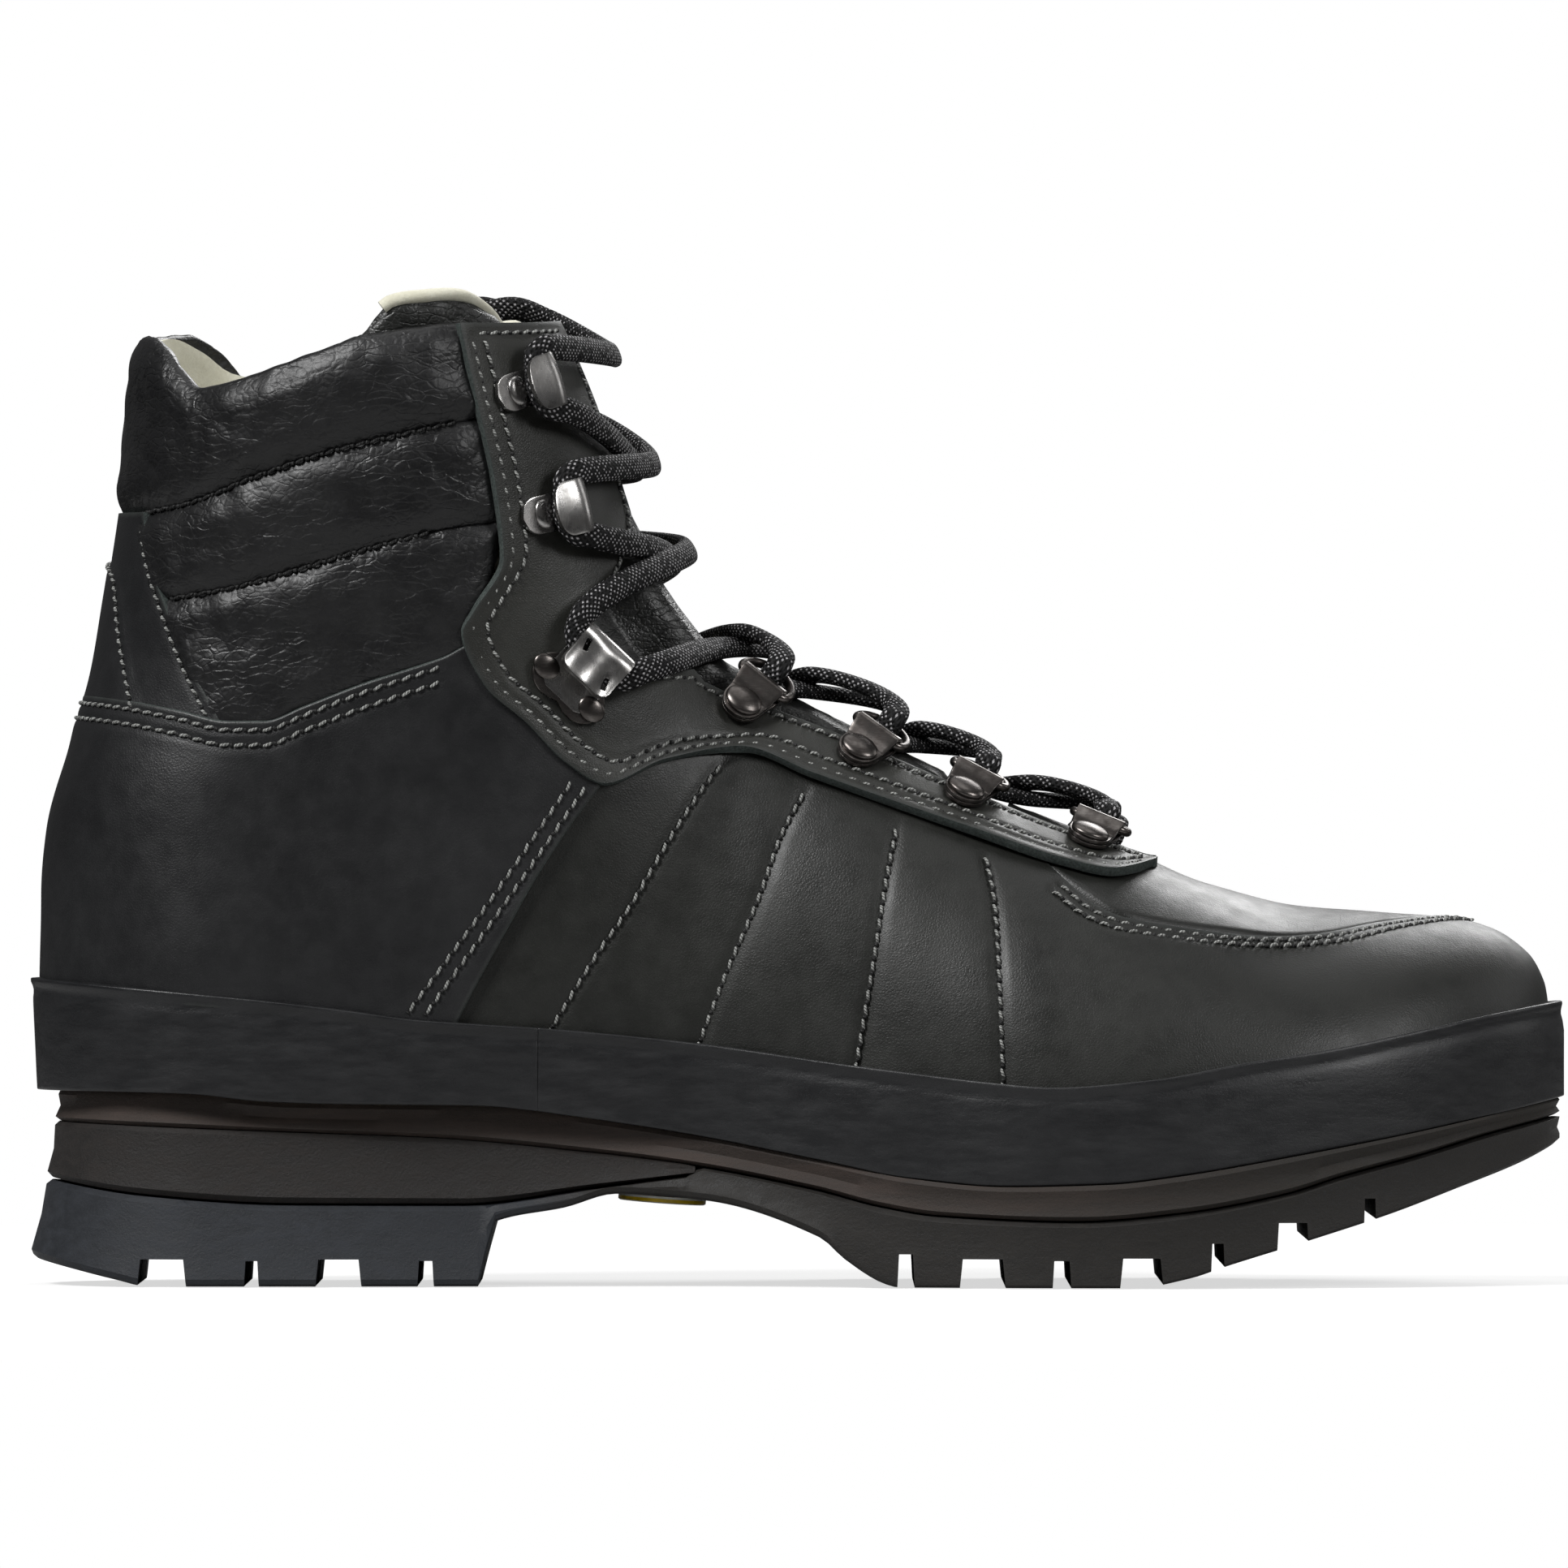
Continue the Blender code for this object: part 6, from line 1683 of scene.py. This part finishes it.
def block(size, centre, turn):
    """A box turned about its upright axis."""
    made = bmesh.new()
    bmesh.ops.create_cube(made, size=1.0)
    bmesh.ops.scale(made, vec=Vector(size) * MM, verts=made.verts)
    bmesh.ops.rotate(made, cent=(0, 0, 0), matrix=Matrix.Rotation(turn, 3, "Z"), verts=made.verts)
    bmesh.ops.translate(made, vec=Vector(centre) * MM, verts=made.verts)
    return made_into("block", made)


def lock_mesh():
    """The locking hook's bent plate: wavy, with a slot near each of two opposite corners."""
    line, top_from = hook_line(-3.2, LOCK_LENGTH, 7.6, 1.0)
    points = strip_grid(line, ends_rounded(line, LOCK_WIDTH, 2.2), 25)
    share = np.zeros(len(line))
    share[top_from - 6:] = np.linspace(0, 1, len(line) - top_from + 6)
    wave_up = 0.42 * np.cos(points[..., 0] * math.pi / 4.6)
    points[..., 2] += np.clip(2 * share, 0, 1)[:, None] * wave_up
    height = STAND_OFF + HOOK_SHEET * 1.5 + HOOK_GAP
    slots = [block((1.1, 2.6, 4), (-3.9, LOCK_LENGTH - 1.2, height), 0.3),
             block((1.1, 2.6, 4), (3.9, LOCK_LENGTH - 4.6, height), 0.3)]
    return solid_strip("lock", points, HOOK_SHEET, 0.36, slots)


def lobed_plate():
    """The locking hook's dark base: a flat plate with a round lobe under each rivet."""
    turn = np.linspace(0, 2 * math.pi, PLATE_CORNERS + 1)[:-1]
    radius = 3.9 + 4.6 * np.abs(np.cos(turn)) ** 1.6
    outline = np.stack([radius * np.cos(turn), 0.92 * radius * np.sin(turn)], axis=-1)
    made = bmesh.new()
    rings = []
    for scale, z in ((0.985, 0.0), (1.0, 0.15), (1.0, 0.8), (0.97, 1.0)):
        spots = [(scale * x, scale * y - 0.4, STAND_OFF + z) for x, y in outline]
        rings.append(ring_of(made, spots))
    join_rings(made, rings)
    cap_rings(made, rings)
    return outward_mesh("lobed_plate", made, 35)


def make_hardware():
    clip, ring = clip_mesh(), ring_mesh()
    rivet, small_rivet = rivet_mesh(3.35, 1.5), rivet_mesh(2.5, 1.1)
    hook, lock, base = hook_mesh(), lock_mesh(), lobed_plate()
    for side, word in SIDES:
        for number, (x, z, toward, lift) in D_SEATS.items():
            place = seat(x, z, side, toward, lift)
            end = f"{number}_{word}"
            placed(f"clip_strap_{end}", clip, place, [GUNMETAL], [f"ring_clip_{end}"])
            node = [f"lace_ring_{end}"]
            placed(f"d_ring_{end}", ring, place, [GUNMETAL], node, f"ring_{end}")
            top = place @ Matrix.Translation(Vector((0, -0.2, STAND_OFF + 1.72)) * MM)
            placed(f"rivet_head_{end}", rivet, top, [GUNMETAL], [f"clip_rivet_{end}"])
        for level, (x, z, toward) in HOOK_SEATS.items():
            place = seat(x, z, side, toward)
            end = f"{level}_{word}"
            placed(f"hook_{end}", hook, place, [STEEL], [f"speed_hook_{end}"])
            placed(f"hook_rivet_{end}", small_rivet, raised(place, 0, 0.4), [STEEL])
        x, z, toward = LOCK_SEAT
        place = seat(x, z, side, toward)
        placed(f"lock_{word}", lock, place, [STEEL], [f"lock_hook_{word}"])
        placed(f"lock_base_{word}", base, place, [GUNMETAL])
        for number, spot in enumerate((-6.2, 6.2)):
            placed(f"lock_rivet_{number}_{word}", small_rivet, raised(place, spot, -0.4), [GUNMETAL])


def raised(place, x, y):
    return place @ Matrix.Translation(Vector((x, y, STAND_OFF + 1.0)) * MM)


# ---------------------------------------------------------------- lace


def ring_turn(place):
    """The lace's turn round a ring's bow, as (point, normal) pairs: over, down through, and under."""
    tilt = math.radians(RING_TILT)
    along = Vector((0, math.cos(tilt), math.sin(tilt)))
    above = Vector((0, -math.sin(tilt), math.cos(tilt)))
    bow = Vector((0, BAR_Y, BAR_Z)) + along * RING_REACH
    turn = RING_WIRE_RADIUS + LACE_RADIUS + RING_CLEARANCE
    heelwards = Vector((-1.2 if place.col[0].x > 0 else 1.2, 0, 0))
    slant = turn * 0.72
    pairs = [(bow + above * turn + along * 0.8 + heelwards, above),
             (bow - along * slant + above * slant, above - along), (bow - along * turn, -along),
             (bow - along * slant - above * slant, -above - along),
             (bow - above * turn + along * 0.8 - heelwards, -above)]
    return on_seat(place, pairs)


def on_seat(place, pairs):
    turn = place.to_3x3()
    return [(place @ (spot * MM) / MM, turn @ way) for spot, way in pairs]


def hook_turn(place, length, width):
    """The lace's turn round the bend of a hook, from its upper side to its lower side."""
    height = STAND_OFF + HOOK_SHEET + HOOK_GAP / 2
    half = width / 2 + LACE_RADIUS + HOOK_CLEARANCE
    spots = [(half, length + 3.0, height), (half * 0.8, length - 0.4, height), (0, length - 1.9, height),
             (-half * 0.8, length - 0.4, height), (-half, length + 3.0, height)]
    return on_seat(place, [(Vector(spot), Vector((0, 0, 1))) for spot in spots])


CROSSINGS = [(-41.5, 5.4), (-34.0, 5.6), (-26.5, 5.6), (-13.0, 5.0), (1.8, 3.9), (23.4, 3.8), (45.2, 3.8)]
LAST_CROSSING = (62.3, 2.6)
UNDER_DROP = 3.4


def ridge_point(x, lift):
    spot = np.array([x, centre_line(x), ridge_line(x)], float)
    outward = normals_at(spot)
    return Vector(spot + outward * lift), Vector(outward)


def upper_first(pairs):
    return pairs if pairs[0][0].z > pairs[-1][0].z else pairs[::-1]


def lace_turns(side):
    """The turns of one end of the lace in order, changing sides at each crossing."""
    turns = []
    for level in ("top", "low"):
        x, z, toward = HOOK_SEATS[level]
        turns.append(upper_first(hook_turn(seat(x, z, side, toward), HOOK_LENGTH, HOOK_WIDTH)))
        side = -side
    x, z, toward = LOCK_SEAT
    turns.append(upper_first(hook_turn(seat(x, z, side, toward), LOCK_LENGTH, LOCK_WIDTH)))
    for x, z, toward, lift in D_SEATS.values():
        side = -side
        turns.append(ring_turn(seat(x, z, side, toward, lift)))
    return turns


def crossed(turns, crossings, over):
    """The turns with a crossing of the ridge before each, over and under the other strand in turn."""
    pairs = []
    for turn, (cross_x, lift) in zip(turns, crossings):
        pairs.append(ridge_point(cross_x, lift if over else lift - UNDER_DROP))
        pairs += turn
        over = not over
    return pairs


def half_lace(first_side):
    """Half of the lace, from its tucked end down to the lowest ring it threads.

    Both ends are tucked in on the inner side: one crosses the ridge first, the other goes straight up.
    """
    turns = lace_turns(first_side)
    if first_side < 0:
        return tucked_end(0.0) + crossed(turns, CROSSINGS, over=True)
    return tucked_end(-6.5) + turns[0][1:] + crossed(turns[1:], CROSSINGS[1:], over=True)


def tucked_end(back):
    """From inside the shaft, up between lining and tongue, and over the top edge of the inner facing."""
    pairs = []
    for x, z, depth in ((-66.5, 150, 9.5), (-64.5, 170, 9.8), (-61.5, 186, 9.8), (-58.5, 193.8, 5.6),
                        (-55.5, 194.2, 1.5), (-52.0, 190.5, -2.6)):
        on_skin = on_side(x + back, z, 1)
        outward = normals_at(on_skin)
        pairs.append((Vector(on_skin - outward * depth), Vector(outward)))
    return pairs


def carried(pairs):
    """The pairs' normals, each turned the way round that follows on from the one before."""
    points = np.array([tuple(point) for point, _ in pairs])
    tangent = unit(np.gradient(points, axis=0))
    ways = []
    last = None
    for index, (_, way) in enumerate(pairs):
        way = np.array(way, float)
        way -= tangent[index] * (way @ tangent[index])
        way /= np.linalg.norm(way)
        if last is not None:
            turn = Vector(tangent[index - 1]).rotation_difference(Vector(tangent[index]))
            way = way if np.array(turn @ Vector(last)) @ way > 0 else -way
        ways.append(way)
        last = way
    return points, np.array(ways)


def lace_path(pairs, count):
    """Evenly spaced points along the lace, with its side and outward directions at each."""
    points, ways = carried(pairs)
    along = lengths(points)
    fine = np.linspace(0, along[-1], 12 * count)
    dense = np.stack([through(*zip(along, axis))(fine) for axis in points.T], axis=-1)
    dense_ways = np.stack([np.interp(fine, along, axis) for axis in ways.T], axis=-1)
    true = lengths(dense)
    wanted = np.linspace(0, true[-1], count)
    spine = np.stack([np.interp(wanted, true, axis) for axis in dense.T], axis=-1)
    way = np.stack([np.interp(wanted, true, axis) for axis in dense_ways.T], axis=-1)
    kernel = np.hanning(15) / np.hanning(15).sum()
    way = np.stack([np.convolve(np.pad(axis, 7, "edge"), kernel, "valid") for axis in way.T], axis=-1)
    _, across, outward = frames_along(spine, way)
    return spine, across, outward


AGLET_LENGTH, AGLET_RADIUS = 16.0, 1.4
LACE_STEPS, LACE_SIDES = 3000, 28
YARN_SPACING = 1.15


def make_lace():
    """One flat-oval braid threaded through all the hardware, ribbed by its yarns, with its two tips."""
    pairs = half_lace(-1) + [ridge_point(*LAST_CROSSING)] + half_lace(1)[::-1]
    spine, across, outward = lace_path(pairs, LACE_STEPS)
    section = oval(LACE_WIDTH, LACE_THICK, LACE_SIDES)
    around = np.concatenate([[0], np.cumsum(np.linalg.norm(np.diff(section, axis=0), axis=1))])
    along = lengths(spine)[:, None]
    one, two = (along + around) / YARN_SPACING, (along - around) / YARN_SPACING
    rib = np.maximum(np.abs(np.sin(math.pi * one)), np.abs(np.sin(math.pi * two)))
    grown = 1 + 0.05 * (rib - 0.85)
    mesh = sweep_mesh("lace_braid", spine, across, outward, section)
    points = swept(spine, across, outward, section[None] * grown[..., None])
    mesh.vertices.foreach_set("co", (points * MM).ravel())
    mesh.shade_smooth()
    add_piece("lace_braid", mesh, [BRAID], ["lace"])
    for name, end, before in (("lace_tip_first", 0, 1), ("lace_tip_second", -1, -2)):
        way = spine[end] - spine[before]
        way /= np.linalg.norm(way)
        tip = spine[end] + way * (GAP + np.linspace(0, AGLET_LENGTH, 12))[:, None]
        shape = np.sqrt(np.clip(1 - np.linspace(0, 1, 12) ** 8, 0.1, 1))
        rounds = oval(2 * AGLET_RADIUS, 2 * AGLET_RADIUS, 20, 2.0)
        sides = np.broadcast_to(across[end], tip.shape)
        ups = np.cross(np.broadcast_to(way, tip.shape), sides)
        mesh = sweep_mesh(f"{name}_sleeve", tip, sides, ups, rounds)
        points = swept(tip, sides, ups, rounds[None] * shape[:, None, None])
        mesh.vertices.foreach_set("co", (points * MM).ravel())
        add_piece(f"{name}_sleeve", mesh, [AGLET], [name])


# ---------------------------------------------------------------- stage

# Metres: the width that the camera sees at the boot, and its own place
PHOTO_WIDTH = 0.311
CAMERA_X, CAMERA_BACK, CAMERA_HEIGHT = -0.0026, 4.5, 0.09885
SENSOR_WIDTH = 36


def make_floor():
    """A plain pale floor that takes the boot's shadow, and turns evenly white further away."""
    made, tree, shader = shader_tree("pale_floor")
    place = place_of(tree)
    cloud = noise(tree, place, 220, 2)
    away = add_node(tree, "ShaderNodeVectorMath", {0: place}, operation="LENGTH").outputs["Value"]
    share = ramp(tree, away, 260, 620, 0, 1)
    pale = mix(tree, ramp(tree, cloud, 0.3, 0.7, 0, 1), (0.44, 0.44, 0.44), (0.46, 0.46, 0.457))
    tree.links.new(mix(tree, share, pale, (0, 0, 0)), shader.inputs["Base Color"])
    shader.inputs["Roughness"].default_value = 0.8
    shader.inputs["Specular IOR Level"].default_value = 0.0
    shader.inputs["Emission Color"].default_value = (1, 1, 1, 1)
    seen = add_node(tree, "ShaderNodeLightPath").outputs["Is Camera Ray"]
    glow = maths(tree, "MULTIPLY", seen, ramp(tree, share, 0, 1, 0.66, 1.0))
    tree.links.new(glow, shader.inputs["Emission Strength"])
    build = bmesh.new()
    bmesh.ops.create_circle(build, cap_ends=True, segments=96, radius=9)
    mesh = made_into("floor", build)
    mesh.materials.append(made)
    floor = linked("floor", mesh)
    floor.location.z = -0.0002


def make_world():
    """A plain white surround to the eye, and a soft dim one to the boot."""
    world = bpy.data.worlds.new("studio")
    world.use_nodes = True
    bpy.context.scene.world = world
    tree = world.node_tree
    tree.nodes.clear()
    seen = add_node(tree, "ShaderNodeBackground", {"Color": (1, 1, 1, 1), "Strength": 1.0})
    lit = add_node(tree, "ShaderNodeBackground", {"Color": (1, 1, 1, 1), "Strength": 0.08})
    rays = add_node(tree, "ShaderNodeLightPath")
    both = add_node(tree, "ShaderNodeMixShader", {0: rays.outputs["Is Camera Ray"], 1: lit.outputs[0],
                                                  2: seen.outputs[0]})
    out = add_node(tree, "ShaderNodeOutputWorld")
    tree.links.new(both.outputs[0], out.inputs["Surface"])


# name, place in metres, size in metres, power in watts
LIGHTS = [("key", (-1.0, -0.95, 1.45), (0.6, 0.6), 32), ("fill", (1.2, -1.1, 0.95), (0.5, 0.6), 9),
          ("top", (0.1, 0.1, 1.75), (1.5, 0.9), 5), ("far_side", (0.6, 1.5, 1.2), (0.9, 0.9), 18),
          ("toe_rim", (1.5, 0.35, 0.7), (0.6, 0.9), 2)]


def make_lights():
    """White area lights, all turned to the boot's middle."""
    middle = Vector((0, 0, 0.1))
    for name, place, size, power in LIGHTS:
        data = bpy.data.lights.new(name, "AREA")
        data.shape = "RECTANGLE"
        data.size, data.size_y = size
        data.energy = power
        light = linked(name, data)
        light.location = place
        light.rotation_euler = (middle - Vector(place)).to_track_quat("-Z", "Y").to_euler()


def make_camera():
    data = bpy.data.cameras.new("photo_camera")
    data.sensor_width = SENSOR_WIDTH
    data.lens = SENSOR_WIDTH * CAMERA_BACK / PHOTO_WIDTH
    data.clip_end = 100
    camera = linked("photo_camera", data)
    camera.location = (CAMERA_X, -CAMERA_BACK, CAMERA_HEIGHT)
    camera.rotation_euler = (math.pi / 2, 0, 0)
    bpy.context.scene.camera = camera
    bpy.context.scene.view_settings.view_transform = "Standard"


def main():
    make_outsole()
    make_sole_layers()
    make_arch_inlay()
    make_rands()
    make_vamp()
    make_vamp_plug()
    make_heel_quarter()
    make_lining_toe()
    make_lining_quarter()
    make_collar()
    make_backstay()
    make_facings()
    make_tongue()
    make_hardware()
    make_lace()
    dress_hidden_nodes()
    make_floor()
    make_world()
    make_lights()
    make_camera()


main()
